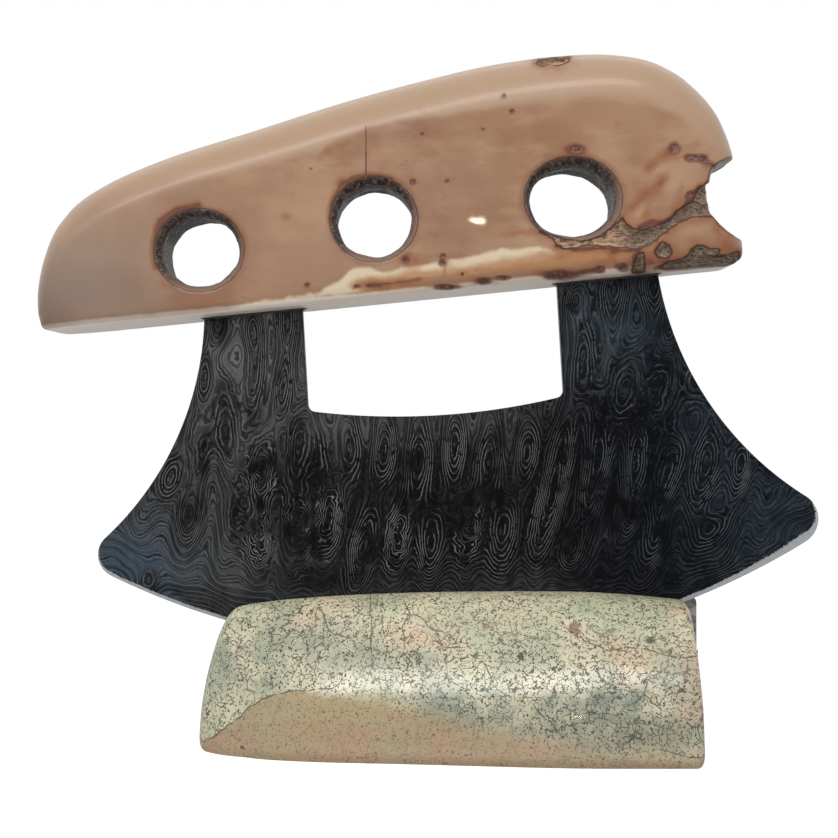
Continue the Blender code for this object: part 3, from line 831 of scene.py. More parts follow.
# Where the nests have bold black outlines
outlined_places = (
    (431, 540, 26, 50, 1), (501, 538, 26, 50, 1), (363, 540, 24, 46, .8), (192, 520, 24, 34, .9),
    (572, 548, 20, 30, .8), (596, 470, 24, 60, .5), (490, 468, 22, 44, .5), (530, 448, 20, 30, .6),
    (576, 400, 20, 34, .7), (638, 478, 24, 60, .5), (430, 455, 22, 50, .4), (172, 478, 16, 26, .5),
    (227, 412, 16, 40, .4), (288, 382, 16, 36, .5), (665, 380, 24, 60, .4), (743, 478, 20, 40, .4),
)
blade_pixel = 0.0002              # metres in the blade's plane for each pixel of the photograph
origin_seen = (450, 743)
edge_seen_radius = edge_radius / blade_pixel
edge_seen_centre = (427.5, -70.0)
other_face_shift = (19, 31)       # pixels: the back is the same stack, cut at other places
columns_apart = 36.0              # pixels
columns_lean = 0.16
columns_foot = 560                # the pixel row at which they stand as given
columns_waver = 10                # pixels
edge_zone = 40                    # pixels over which the layers turn to follow the edge
# How many layers deep each form of the stack is cut
layers_in_nest = 6.4
layers_in_column = 1.3
layers_in_fold = 1.6
layers_in_wave = 1.8
layers_at_edge = 18
layers_in_swell = 7
nest_falloff = 0.8
# Waves of noise: width and height in pixels, and a seed
edge_waves = (38, 90, 6.1)
edge_waver = 22                   # pixels
broad_waves = (46, 80, 4.7)
fold_waves = (21, 44, 9.1)
swell_waves = (60, 30, 2.3)


def waves(places, wide, tall, seed):
    """Smooth noise at each place, with waves of a given width and height."""
    return np.array([noise.noise((x / wide, y / tall, seed)) for x, y in places])


def layers_at(places):
    """How many layers deep in the stack each place on the blade lies, and how near to a nest."""
    from_centre = places - np.array(edge_seen_centre)
    above_edge = edge_seen_radius - np.hypot(from_centre[:, 0], from_centre[:, 1])
    above_edge = above_edge + edge_waver * waves(places, *edge_waves)
    wave = waves(places, *broad_waves)
    near_edge = np.exp(-np.clip(above_edge, 0, None) / edge_zone)
    slant = places[:, 0] - columns_lean * (columns_foot - places[:, 1]) + columns_waver * wave
    column = np.cos(slant * 2 * math.pi / columns_apart)
    fold = layers_in_column * column + layers_in_fold * waves(places, *fold_waves)
    depth = fold * (1 - near_edge) ** 2 + layers_in_wave * wave
    depth = depth - (layers_at_edge + layers_in_swell * waves(places, *swell_waves)) * near_edge
    nearest = np.zeros(len(places))
    for across, down, wide, tall, lean, strength in layer_nests:
        up = down - places[:, 1]
        aside = places[:, 0] - across - lean * up
        nearness = np.exp(-((aside / wide) ** 2 + (up / tall) ** 2) * nest_falloff)
        depth = depth + layers_in_nest * strength * nearness
        nearest = np.maximum(nearest, nearness)
    return depth, nearest


blade_places = mesh_points(blade_mesh)
blade_seen = np.column_stack([origin_seen[0] + blade_places[:, 0] / blade_pixel,
                              origin_seen[1] - blade_places[:, 2] / blade_pixel])
pattern_seen = blade_seen + np.outer(blade_places[:, 1] > 0, other_face_shift)
layer, nest = layers_at(pattern_seen)
steps = [layers_at(pattern_seen + step)[0] - layer for step in ((1, 0), (0, 1))]
on_bevel = np.zeros(len(blade_places))
on_bevel[2 * count:] = np.concatenate([bevel_share, bevel_share])
keep_fields(
    blade_mesh, layer=layer, layer_slope=np.hypot(*steps), nest=nest, bevel=on_bevel,
    outlined=patches(pattern_seen, outlined_places), jagged=patches(pattern_seen, jagged_places),
    pool=patches(pattern_seen, black_pools), darker=patches(blade_seen, darker_etch),
    cooler=patches(blade_seen, cooler_etch), lighter=patches(blade_seen, lighter_etch))

# Etched pattern steel: charcoal bands with thin black and light grey lines between the layers,
# strongest where the grinding has cut deep into the stack. Reflections of the surroundings are
# painted into its colour as broad lighter, bluer and darker zones
steel_material, steel, place = new_finish("pattern_steel")
nest, jagged, cool, bevel, layer_slope = (
    stored(steel, name) for name in ("nest", "jagged", "cooler", "bevel", "layer_slope"))
layer = stored(steel, "layer") + stir(place, 330, 2, 1.2)
layer = layer + stir(place, 1300, 3, .45, .6) + stir(place, 560, 1, 6) * jagged
slope = either(layer_slope, .16)
across = steel.node("ShaderNodeSeparateXYZ", {0: place}, output="X")
patchy = cloud(place, 150, 3)


def from_middle(turns):
    """Distance from the middle of each whole turn, up to a half."""
    return abs(turns.maths("FRACT", turns) - .5)


# Painted reflection: the right side is tinted blue black, and the light lines there turn bluish
right_side = ramp_up(across, .010, .045)
dark_zone = ramp_up(stored(steel, "darker") + (patchy - .5) * .4, .15, .8)
black_zone = dark_zone * ramp_up(across, .006, .018)
second_layer = ramp_up(layer.maths("FRACT", layer * .5), .5, .56)
near_nest = ramp_up(nest + (patchy - .5) * .8, .25, .7)
pool = ramp_up(stored(steel, "pool") + stir(place, 420, 3, 1.1), .55, .75)
black_line = ramp_up(from_middle(layer + .5) / slope, .95, .30)
bold_line = ramp_up(from_middle(layer * .5 + .25) * 2 / slope, 1.5, .6)
outline = ramp_up(abs(nest - .42 + stir(place, 500, 2, .12)), .07, .02)
outline = either(outline, ramp_up(abs(nest - .17 + stir(place, 500, 2, .06)), .035, .012))
# The colour carries painted reflections: light grey on the left, a cool blue sheen low on the left,
# blue black on the right, and darker in the middle, where deep etch and painted dark reflection meet
colour = coated(
    (54, 56, 58),
    (ramp_up(cloud(place, 240, 3), .35, .65), (64, 66, 68)),
    (stored(steel, "lighter") * .9, (112, 111, 110)),
    (right_side * .92, (14, 20, 28)),
    (cool * .85, (72, 93, 110)),
    (dark_zone * .92, (18, 18, 19)),
    (black_zone * .8, (5, 7, 11)),
    (second_layer * .28, (20, 21, 24)),
    (near_nest * .75, (12, 13, 15)),
    (pool * .9, (9, 9, 11)),
    (black_line * (.68 - .38 * cool), (9, 10, 13)),
    (bold_line * .8, (6, 7, 10)),
    (outline * stored(steel, "outlined"), (5, 6, 8)))
line_share = .22 + .48 * ramp_up(nest, .15, .6) + .26 * jagged + .18 * ramp_up(across, .036, .056)
line_share = line_share * ramp_up(patchy, .34, .56) * (1 - pool * .6) * (1 - black_zone * .25)
line_share = line_share * ramp_up(layer_slope, .08, .2)
light_line = ramp_up(from_middle(layer) / slope, .62, .14) * line_share
light_line = light_line * ramp_up(cloud(place, 900, 2), .30, .46)
fine_gap = from_middle(layer * 2 + .1) * .5 / slope
fine_line = ramp_up(fine_gap, .6, .15) * ramp_up(layer_slope, .32, .2) * (1 - pool)
fine_line = fine_line * ramp_up(cloud(place, 500, 2), .42, .56)
line_colour = tint(right_side, (126, 125, 122), (98, 103, 110))
ground_share = ramp_up(bevel + stir(place, 2200, 2, .5), .08, .30) * ramp_up(bevel, .01, .06)
ground_steel = tint(cloud(stretched(place, (1, 1, 5)), 900, 3), (176, 179, 183), (226, 228, 230))
colour = coated(
    colour, (light_line, line_colour), (fine_line * (.26 - .20 * dark_zone), line_colour),
    (ground_share, ground_steel))
rough = .44 + .12 * light_line - .10 * pool
rough = rough + (.30 - rough) * ground_share
relief = (light_line - bold_line * .6) * (1 - ground_share)
finish_surface(steel, colour, rough, bump=relief, bump_height=.00003, metallic=.9)
blade_mesh.materials.append(steel_material)
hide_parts("blade")
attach(blade, "knife")


# Tang bonds
# Dark set glue fills the mortises round both tangs, and a little of it has squeezed out as a thin
# uneven bead where each tang enters the handle's underside.
bead_radius = 0.00036
bead_unevenness = 0.00016
bead_seed = 3
bead_gap = 0.0001                 # from the steel to the middle of the bead
bead_spacing = 0.0004
bead_sides = 10
bead_lumps = 420.0                # lumps a metre
handle_lean = knife_lean + handle_tilt
# The left and the right side of each tang, along the blade
tang_sides = {
    "left": (neck_left, neck_left + left_tang_width),
    "right": (neck_right - right_tang_width, neck_right),
}


def tang_foot(across):
    """Where a side of a tang meets the handle's underside, as the knife stands."""
    return turned(rocking_centre, knife_lean, across, underside_height(across) - edge_radius)


def new_tree(name, geometry, sizes, outcome):
    """Start a Geometry Nodes tree, and return it with its fields, the last of them the finish."""
    tree = bpy.data.node_groups.new(name, "GeometryNodeTree")
    given = [(geometry, "NodeSocketGeometry"), *((size, "NodeSocketFloat") for size in sizes),
             ("Finish", "NodeSocketMaterial")]
    for socket_name, kind in given:
        tree.interface.new_socket(socket_name, in_out="INPUT", socket_type=kind)
    tree.interface.new_socket(outcome, in_out="OUTPUT", socket_type="NodeSocketGeometry")
    outputs = tree.nodes.new("NodeGroupInput").outputs
    return tree, Field(tree), *(Field(tree, outputs[index]) for index in range(len(given)))


def squeezed_bead_tree():
    """Geometry Nodes that sweep an uneven bead round the loop that they are given."""
    tree, start, loop, radius, unevenness, spacing, seed, glue = new_tree(
        "squeezed_bead", "Loop", ("Radius", "Unevenness", "Spacing", "Seed"), "Bead")
    curve = start.node("GeometryNodeMeshToCurve", {"Mesh": loop})
    curve = start.node("GeometryNodeResampleCurve", {"Curve": curve, "Length": spacing},
                       mode="LENGTH")
    place = start.node("GeometryNodeInputPosition")
    lumps = start.node(
        "ShaderNodeTexNoise", {"Vector": place, "W": seed, "Scale": bead_lumps, "Detail": 2.0},
        noise_dimensions="4D")
    thickness = radius + (lumps - .5) * 2 * unevenness
    profile = start.node("GeometryNodeCurvePrimitiveCircle",
                         {"Resolution": bead_sides, "Radius": 1.0})
    bead = start.node("GeometryNodeCurveToMesh",
                      {"Curve": curve, "Profile Curve": profile, "Scale": thickness})
    bead = start.node("GeometryNodeSetShadeSmooth", {"Geometry": bead})
    bead = start.node("GeometryNodeRealizeInstances", {"Geometry": bead})
    bead = start.node("GeometryNodeSetMaterial", {"Geometry": bead, "Material": glue})
    start.node("NodeGroupOutput", {"Bead": bead})
    return tree


def applied(piece):
    """The mesh that a piece's modifiers make of it, with the modifiers taken off."""
    outcome = bpy.data.meshes.new_from_object(
        piece.evaluated_get(bpy.context.evaluated_depsgraph_get()))
    piece.modifiers.clear()
    return outcome


def grown(name, mesh, tree, sizes):
    """Run a Geometry Nodes tree on a mesh, and return the outcome as a piece with a plain mesh."""
    piece = put_in_scene(name, mesh)
    modifier = piece.modifiers.new(tree.name, "NODES")
    modifier.node_group = tree
    for socket_name, value in sizes.items():
        modifier[tree.interface.items_tree[socket_name].identifier] = value
    piece.data = applied(piece)
    return piece


glue_material, glue, place = new_finish("set_glue")
streaks = cloud(place, 700, 3)
colour = tint(streaks, (26, 20, 17), (58, 44, 36))
finish_surface(glue, colour, .3 + .3 * streaks, bump=streaks, bump_height=.00005)
bead_tree = squeezed_bead_tree()
for side, sides in tang_sides.items():
    left_foot, right_foot = (tang_foot(across) for across in sides)
    corners = []
    for depth_side, feet in ((-1, (left_foot, right_foot)), (1, (right_foot, left_foot))):
        for foot in feet:
            outward = -1 if foot == left_foot else 1
            corners.append((foot[0] + outward * bead_gap * math.cos(handle_lean),
                            depth_side * (blade_half + bead_gap),
                            foot[1] + outward * bead_gap * math.sin(handle_lean)))
    loop_mesh = bpy.data.meshes.new(side + "_glue_loop")
    loop_mesh.from_pydata(corners, [(0, 1), (1, 2), (2, 3), (3, 0)], [])
    bead = grown(side + "_glue_bead", loop_mesh, bead_tree, {
        "Radius": bead_radius, "Unevenness": bead_unevenness, "Spacing": bead_spacing,
        "Seed": float(bead_seed), "Finish": glue_material})
    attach(bead, "knife")
    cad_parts["tang_bond_" + side].data.materials.clear()
    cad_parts["tang_bond_" + side].data.materials.append(glue_material)


# Handle
# A slab of fossil ivory, rounded over along its top and ends and polished. Three finger holes are
# bored through it, and the right end has broken through a fourth and along a porous seam.
handle_seat = (-0.00385, 0.08931)
handle_length = 0.1393
handle_left = -0.0772
handle_height = 0.0450
handle_half = 0.0110
top_round = 0.0110
end_round = 0.0050
lower_chamfer = 0.0038
lower_chamfer_depth = 0.0030
roundover_top_share = 0.97
roundover_end_share = 0.62
lower_chamfer_start_share = 0.26
left_corner_wear = 1.3            # the lower left corner is rounded over more than the foot
left_corner_share = 0.045
outline_count = 420
foot_count = 60                   # of those points, along the straight foot
roundover_steps = 26
voxel_size = 0.0005
softening_rounds = 7
softening = 0.5
handle_smooth_angle = 180
front_limit = -0.002              # the front face's marks end at this depth
millimetres = 1000                # fields of distance are kept in millimetres

# Share of the length from the left end, share of the height
handle_outline_shares = (
    (.02, 0), (.007, .011), (.001, .05), (0, .123), (.0055, .225), (.0165, .33), (.0475, .493),
    (.075, .569), (.121, .64), (.192, .711), (.332, .805), (.47, .896), (.574, .95), (.678, .991),
    (.766, 1), (.833, .988), (.883, .953), (.921, .89), (.953, .796), (.976, .695), (.989, .593),
    (.997, .487), (1, .29), (.999, .09), (.994, .023), (.984, 0),
)
# Finger holes: across and up in the picture plane, half width and half height
finger_holes = (
    (-.0487, .0974, .0081, .0075), (-.0149, .1034, .0079, .0077), (.0236, .1073, .0089, .0077),
)
hole_throat = 0.0008              # how much narrower a hole is behind its front lip
hole_lip = 0.0012                 # how much wider than that it is at its worn lips
hole_lip_depth = 0.0014
hole_unevenness = 0.00030
hole_run = 0.004                  # how deep in a hole has narrowed to its throat
back_lip = 0.0004                 # how much wider its lip keeps at the back
hole_points = 120
hole_rings = 55
# How a bore's wall wavers: waves round it, waves a metre along it, and strength
hole_wavers = ((2.2, 130, 1.0), (6, 400, 0.5))
hole_seed_step = 3.1
lower_right = (0.6, -0.8)         # the way to the lower right of a hole
cutter_half = 0.0135              # half the depth of what cuts through the handle
mortise_margin = 0.0005
mortise_foot = -0.004
broken_line_points = 70
broken_line_waver = 900           # waves a metre
broken_line_unevenness = 0.0002
# Outline of the broken hole, in pixels of the photograph
broken_hole_outline = (
    (734, 157), (729, 160), (721, 163), (714, 169), (711.5, 176), (709.5, 184), (710.5, 193),
    (711.7, 204), (715, 215), (722, 225), (731, 231), (741, 235.5), (764, 238), (764, 150),
)


def on_handle(across, up):
    """Turn distances along and above the handle's underside into a place."""
    return turned(handle_seat, handle_lean, across, up)


def handle_rings():
    """Rings of the slab, from its front face over the rounded edges to its back face."""
    flat = smooth_line(handle_outline_shares, outline_count - foot_count)
    foot = np.linspace(flat[-1], flat[0], foot_count + 2)[1:-1]
    flat = np.vstack([flat, foot])
    across = handle_left + flat[:, 0] * handle_length
    up = flat[:, 1] * handle_height
    run = np.stack([np.roll(across, -1) - np.roll(across, 1), np.roll(up, -1) - np.roll(up, 1)])
    run /= np.hypot(*run)
    upward, outward = run
    wear = lower_chamfer_start_share + (1 - lower_chamfer_start_share) * flat[:, 0]
    wear = wear + left_corner_wear * np.exp(-(flat[:, 0] / left_corner_share) ** 2)
    depth = handle_half * (roundover_top_share * np.clip(upward, 0, None) ** 2
                           + roundover_end_share * outward ** 2)
    depth += wear * lower_chamfer_depth * np.clip(-upward, 0, None) ** 2
    chamfer = wear * lower_chamfer
    middle = handle_left + handle_length / 2
    face_across = middle + (across - middle) * (1 - end_round / (handle_length / 2))
    face_up = chamfer + up * (1 - (top_round + chamfer) / handle_height)
    rings = []
    turns = np.linspace(math.pi / 2, 0, roundover_steps + 1)
    for side, steps in ((-1, turns), (1, turns[::-1])):
        for turn in steps:
            inward = 1 - math.cos(turn)
            x, z = on_handle(across + (face_across - across) * inward,
                             up + (face_up - up) * inward)
            y = side * (handle_half - depth * (1 - math.sin(turn)))
            rings.append(np.column_stack([x, y, z]))
    return rings


def skinned(name, rings):
    """A closed mesh through rings of as many points each."""
    size = len(rings[0])
    numbers = np.arange(len(rings) * size).reshape(-1, size)
    faces = [numbers[0], numbers[-1][::-1]]
    for first, second in zip(numbers, numbers[1:]):
        faces += ring_faces(first, second)
    return solid_mesh(name, np.vstack(rings), faces)


def bored_hole(name, across, up, half_width, half_height, seed):
    """An uneven round cutter whose lips are worn wide on both faces."""
    rings = []
    angles = np.linspace(0, 2 * math.pi, hole_points, endpoint=False)
    for depth in np.linspace(-cutter_half, cutter_half, hole_rings):
        from_face = max(handle_half - abs(depth), 0) / hole_lip_depth
        throat = hole_throat * (.5 - .5 * math.tanh(depth / hole_run))
        lip_share = (throat + back_lip) / (hole_throat + back_lip)
        grow = hole_lip * math.exp(-from_face ** 1.5) * lip_share - throat
        uneven = [sum(strength * noise.noise(
            (waver * math.cos(a), waver * math.sin(a), seed + depth * along))
            for waver, along, strength in hole_wavers) for a in angles]
        reach = grow + hole_unevenness * np.array(uneven)
        rings.append(np.column_stack([
            across + (half_width + reach) * np.cos(angles), np.full(len(angles), depth),
            up + (half_height + reach) * np.sin(angles)]))
    return skinned(name, rings)


def straight_cutter(name, outline, front, back):
    """A cutter with the same outline, in the picture plane, at two depths."""
    outline = np.array(outline)
    rings = [np.column_stack([outline[:, 0], np.full(len(outline), depth), outline[:, 1]])
             for depth in (front, back)]
    return skinned(name, rings)


def face_place(seen, depth=-handle_half):
    """The place at a given depth that the camera sees at a pixel."""
    away = depth - camera_place[1]
    return (camera_place[0] + (seen[0] - straight_ahead[0]) * away / focal_length,
            camera_place[2] - (seen[1] - straight_ahead[1]) * away / focal_length)


slab_mesh = skinned("ivory_handle", handle_rings())
handle = add_piece("ivory_handle", slab_mesh, handle_smooth_angle)
cutters = [bored_hole("finger_hole", *hole, hole_seed_step * index)
           for index, hole in enumerate(finger_holes)]
broken_line = spread(
    np.array([face_place(seen) for seen in broken_hole_outline]), broken_line_points)
broken_line = broken_line + broken_line_unevenness * np.array(
    [[noise.noise((x * broken_line_waver, z * broken_line_waver, seed)) for seed in (1, 5)]
     for x, z in broken_line])
cutters.append(straight_cutter("broken_hole", broken_line, -cutter_half, cutter_half))
for side in tang_limits:
    steps = tang_steps(side, mortise_margin, mortise_foot)
    cutters.append(straight_cutter("mortise", [on_handle(*step) for step in steps],
                                   -blade_half - mortise_margin, blade_half + mortise_margin))
for cutter_mesh in cutters:
    cutter = put_in_scene("cutter", cutter_mesh)
    modifier = handle.modifiers.new("cut", "BOOLEAN")
    modifier.operation = "DIFFERENCE"
    modifier.object = cutter
    modifier.solver = "EXACT"
    handle.data = applied(handle)
    bpy.data.objects.remove(cutter, do_unlink=True)

# An even net of points over the whole handle, pulled back onto the cut surface
exact = bmesh.new()
exact.from_mesh(handle.data)
exact_surface = BVHTree.FromBMesh(exact)
exact.free()
remesh = handle.modifiers.new("even", "REMESH")
remesh.mode = "VOXEL"
remesh.voxel_size = voxel_size
remesh.adaptivity = 0.0
even_mesh = applied(handle)
for vertex in even_mesh.vertices:
    vertex.co = exact_surface.find_nearest(vertex.co)[0]
softened = bmesh.new()
softened.from_mesh(even_mesh)
for _ in range(softening_rounds):
    bmesh.ops.smooth_vert(softened, verts=softened.verts, factor=softening,
                          use_axis_x=True, use_axis_y=True, use_axis_z=True)
softened.to_mesh(even_mesh)
softened.free()
handle.data = even_mesh
handle.data.shade_smooth()

handle_places = mesh_points(even_mesh)
handle_seen = seen_at(handle_places)
on_front = handle_places[:, 1] < front_limit

# What shows on the ivory's front face, in pixels of the photograph
rough_seam_outline = (
    (540, 232), (547, 234), (554, 236), (557, 244), (564, 248.5), (573, 248), (583, 244.5),
    (593, 244.5), (606, 246), (616, 246), (626, 247), (636, 248.5), (644, 246), (650, 243),
    (659, 236), (666, 231), (676, 223), (691, 217), (704, 214.5), (714, 216), (722, 225),
    (720, 190), (708, 183), (701.5, 188), (696, 193), (694, 201), (687, 205.5), (677, 211),
    (672.5, 219.5), (664, 224.5), (653, 228), (643, 231), (633, 229.5), (626, 224.5), (622, 219.5),
    (616, 226), (600, 238), (580, 243), (558, 238),
)
tip_swirl_outlines = (
    ((536, 63), (540, 60), (547, 61), (552, 58.5), (560, 60), (569, 58), (566, 62), (558, 64.5),
     (549, 63.5), (542, 65)),
    ((656, 252), (659, 246), (663, 243), (669, 246), (672, 253), (667, 257), (659, 257)),
    ((660, 268), (668, 263), (678, 261), (690, 256), (692, 250), (697, 246), (704, 246),
     (709, 250), (719, 250), (716, 254), (705, 256), (716, 259), (728, 256), (739, 252),
     (738, 262), (722, 265), (700, 266), (680, 268)),
    ((633, 272), (635, 262), (638, 254), (643, 254), (644, 262), (644, 272)),
)
cream_outline = (
    (230, 309), (255, 302), (285, 299), (317, 293), (335, 284), (351, 271), (362, 267), (375, 270),
    (390, 273), (409, 267), (430, 264), (453, 261), (480, 255), (501, 249), (520, 249), (535, 247),
    (548, 246), (560, 256), (500, 268), (440, 277), (400, 285), (340, 294), (300, 301), (262, 309),
    (240, 314),
)
orange_outline = (
    (352, 290), (354, 279), (380, 276), (420, 270), (453, 269), (480, 264), (510, 258), (540, 252),
    (560, 251), (600, 249), (640, 250), (632, 262), (600, 267), (560, 271), (520, 276), (480, 281),
    (440, 286), (400, 291), (375, 294),
)
# Dark ringed pits: across, down, half width, half height
ringed_spots = (
    (512, 111, 2.4, 2.4), (504, 95, 1.6, 1.6), (483, 129, 2, 1.8), (422, 134, 2.2, 2),
    (413, 182, 3, 3), (447, 181, 2.2, 2), (576, 149, 9, 4.6), (674, 148, 6, 5.5),
    (703.5, 159, 5, 4.6), (692, 158, 6, 4), (307, 285, 2.6, 2.6), (405.5, 260, 4, 3.8),
    (443, 256, 3, 3), (442.5, 262.5, 4, 3), (622, 267, 6.5, 4), (600, 269, 5, 3.6),
    (559, 275, 16, 4.4), (483, 281, 8, 3.6), (446, 287, 12, 2.6), (503, 278, 8, 2.2),
    (357, 286, 3.4, 1.5), (370, 286, 4, 1.5), (638, 265, 5, 8), (691, 194, 5, 3.4),
    (566, 247, 4, 2.4), (722, 256.5, 5, 2.6), (311, 169, 1.8, 1.6), (462, 274, 2, 1.8),
)
brown_stains = (
    (168, 285, 16, 8, .35), (190, 299, 40, 10, .3), (344, 183, 9, 7, .9), (333, 196, 5, 20, .45),
    (300, 157, 16, 9, .2), (287, 217, 7, 5, .45), (293, 194, 5, 5, .35), (576, 150, 11, 6.5, 1.2),
    (520, 232, 28, 5, .45), (505, 235, 24, 4, .35), (410, 262, 14, 8, .5), (444, 262, 8, 9, .55),
    (425, 256, 40, 6, .3), (614, 250, 7, 6, 1), (604, 262, 18, 5, .5), (560, 273, 34, 5, .8),
    (484, 280, 18, 5, .6), (446, 286, 22, 4, .6), (372, 285, 22, 5, .8), (402, 282, 14, 5, .7),
    (650, 262, 12, 9, .7), (664, 262, 20, 8, .7), (718, 228, 7, 12, .5), (728, 246, 8, 12, .6),
    (586, 222, 90, 5, .15), (447, 179, 16, 7, .45), (448, 198, 12, 9, .3), (413, 182, 8, 8, .4),
    (616, 215, 5, 16, .4), (430, 133, 20, 9, .3), (307, 285, 5, 5, .6), (405, 258, 9, 8, .8),
    (670, 228, 16, 8, .35), (422, 116, 16, 10, .25), (618, 124, 8, 6, .25), (560, 258, 12, 5, .4),
)
# Brown strokes: half width and strength, then the points that they run through
brown_strokes = (
    (5, 1.0, (157, 266), (155, 243), (161, 221), (176, 210), (198, 206)),
    (3, .9, (330, 222), (332, 202), (341, 184), (352, 178), (372, 175), (392, 179)),
    (6, .35, (318, 158), (332, 149), (348, 142)),
    (7, .6, (649, 168), (659, 158), (672, 151)),
    (3.4, 1.1, (640, 227), (652, 222), (664, 222), (673, 217), (684, 207), (694, 194), (700, 187)),
    (8, .62, (630, 208), (643, 197), (656, 188), (664, 178)),
    (7, .4, (648, 200), (645, 222)),
    (7, .35, (682, 188), (673, 211)),
    (3.6, 1.1, (687, 197), (699, 190)),
    (3.4, .8, (686, 157), (705, 161), (716, 167)),
    (2.6, 1.0, (556, 246), (575, 250), (600, 248), (618, 250), (640, 251)),
    (4, .9, (548, 275), (575, 273), (601, 269)),
    (3.6, 1.1, (635, 256), (637, 270)),
    (3, .6, (606, 251), (616, 262)),
    (2.6, .7, (355, 287), (372, 285), (396, 283), (420, 279)),
    (2.6, .4, (420, 279), (452, 274), (490, 268)),
    (3, .8, (655, 268), (680, 260), (700, 262), (736, 257)),
    (2.6, .5, (444, 266), (445, 276)),
    (4, .3, (505, 238), (530, 231), (552, 227)),
    (3, .45, (622, 216), (630, 208), (634, 200)),
)
purple_stains = (
    (414, 129, 22, 12, .45), (697, 144, 9, 7, .35), (697, 158, 12, 6, .7), (707, 165, 10, 14, .4),
    (674, 147, 9, 8, .5), (512, 111, 5, 5, .5), (504, 96, 5, 4, .5), (552, 275, 20, 5, .6),
    (700, 262, 26, 6, .6), (630, 262, 12, 10, .4), (90, 235, 30, 60, .15), (483, 129, 5, 4, .4),
    (690, 215, 14, 5, .3), (733, 262, 8, 8, .5), (450, 108, 24, 10, .15),
)
# Painted highlight: inside this outline the rounded crown, which faces the light above, is painted
# lighter
crown_outline = (
    (30, 300), (57, 246), (76, 220), (107, 197), (160, 184), (245, 170), (318, 151), (349, 134),
    (368, 125), (400, 119), (450, 115), (500, 106), (550, 100), (600, 98), (645, 101), (680, 116),
    (700, 135), (720, 149), (760, 160), (760, 20), (20, 20),
)
light_patches = (
    (285, 222, 58, 50, .6), (620, 110, 70, 50, .6), (680, 120, 30, 50, .5), (560, 100, 60, 20, .5),
    (205, 175, 60, 18, .3), (500, 180, 50, 30, .25), (636, 212, 14, 16, .9), (672, 180, 22, 18, .8),
    (690, 228, 26, 9, .9), (665, 240, 26, 8, .5), (470, 120, 60, 20, .3), (110, 190, 40, 20, .3),
)
no_spot = 4.0                     # distance from a spot that has no effect


def nearest_spot(places, rows):
    """Distance from the middle of the nearest spot, as a share of that spot's reach."""
    nearest = np.full(len(places), no_spot)
    for across, down, wide, tall in rows:
        reach = np.hypot((places[:, 0] - across) / wide, (places[:, 1] - down) / tall)
        nearest = np.minimum(nearest, reach)
    return nearest


def hole_distance(places):
    """Distance outside the nearest finger hole's bore, and how far round to its lower right."""
    nearest = np.full(len(places), np.inf)
    low_right = np.zeros(len(places))
    for across, up, half_width, half_height in finger_holes:
        aside, above = ((places[:, 0] - across) / half_width, (places[:, 2] - up) / half_height)
        reach = np.hypot(aside, above)
        away = (reach - 1) * (half_width + half_height) / 2
        way = (lower_right[0] * aside + lower_right[1] * above) / reach
        low_right = np.where(away < nearest, way, low_right)
        nearest = np.minimum(nearest, away)
    return nearest, low_right


rough_edge = beyond_outline(handle_seen, rough_seam_outline)
for swirl in tip_swirl_outlines:
    rough_edge = np.minimum(rough_edge, beyond_outline(handle_seen, swirl))
rough_edge = np.where(on_front, rough_edge, far_away)
broken_edge = beyond_outline(
    np.column_stack([handle_places[:, 0], handle_places[:, 2]]), broken_line)
above_foot = turned((0, 0), -handle_lean, handle_places[:, 0] - handle_seat[0],
                    handle_places[:, 2] - handle_seat[1])[1]
outside_bore, low_right_side = hole_distance(handle_places)
brown = patches(handle_seen, brown_stains)
for half_width, strength, *line in brown_strokes:
    reach = beside(handle_seen, line)[0] / half_width
    brown = np.maximum(brown, strength * np.exp(-reach ** 2))
spots = nearest_spot(handle_seen, ringed_spots)
keep_fields(
    even_mesh, rough_edge=rough_edge, hole_distance=outside_bore * millimetres,
    low_right=low_right_side, broken_edge=broken_edge * millimetres,
    above_foot=above_foot * millimetres,
    cream_edge=beyond_outline(handle_seen, cream_outline),
    crown_edge=beyond_outline(handle_seen, crown_outline),
    orange_edge=beyond_outline(handle_seen, orange_outline),
    spot_reach=np.where(on_front, spots, no_spot), brown_stain=brown * on_front,
    purple_stain=patches(handle_seen, purple_stains) * on_front,
    light_patch=patches(handle_seen, light_patches),
    seen_across=handle_seen[:, 0], seen_down=handle_seen[:, 1])

# The porous seam is sunk and pitted, and the walls of the holes are drawn into fibres
relief_tree, relief, slab, seam_depth, pit_depth, fibre_depth, ivory_finish = new_tree(
    "weathered_relief", "Slab", ("Seam Depth", "Pit Depth", "Fibre Depth"), "Worn Slab")


def named(start, name):
    """A stored field, read inside a Geometry Nodes tree."""
    return start.node("GeometryNodeInputNamedAttribute", {"Name": name}, data_type="FLOAT")


place = relief.node("GeometryNodeInputPosition")
seam = ramp_up(named(relief, "rough_edge") + stir(place, 900, 2, 5), 1.5, -3.5)
pits = ramp_up(cloud(place, 1000, 3, .65), .40, .62)
bore = ramp_up(named(relief, "hole_distance"), .55, .15)
bore = either(bore, ramp_up(named(relief, "broken_edge"), .5, .1))
inside = ramp_up(abs(relief.node("ShaderNodeSeparateXYZ", {0: place}, output="Y")), .0108, .0100)
fibres = cloud(stretched(place, (1, 4.5, 1)), 420, 4, .6)
sink = seam * (seam_depth + pit_depth * pits) + bore * inside * fibre_depth * (fibres - .35) * 2
inwards = relief.node("ShaderNodeVectorMath", {
    0: relief.node("GeometryNodeInputNormal"), "Scale": sink * -1}, operation="SCALE")
moved = relief.node("GeometryNodeSetPosition", {"Geometry": slab, "Offset": inwards})
moved = relief.node("GeometryNodeRealizeInstances", {"Geometry": moved})
moved = relief.node("GeometryNodeSetMaterial", {"Geometry": moved, "Material": ivory_finish})
relief.node("NodeGroupOutput", {"Worn Slab": moved})
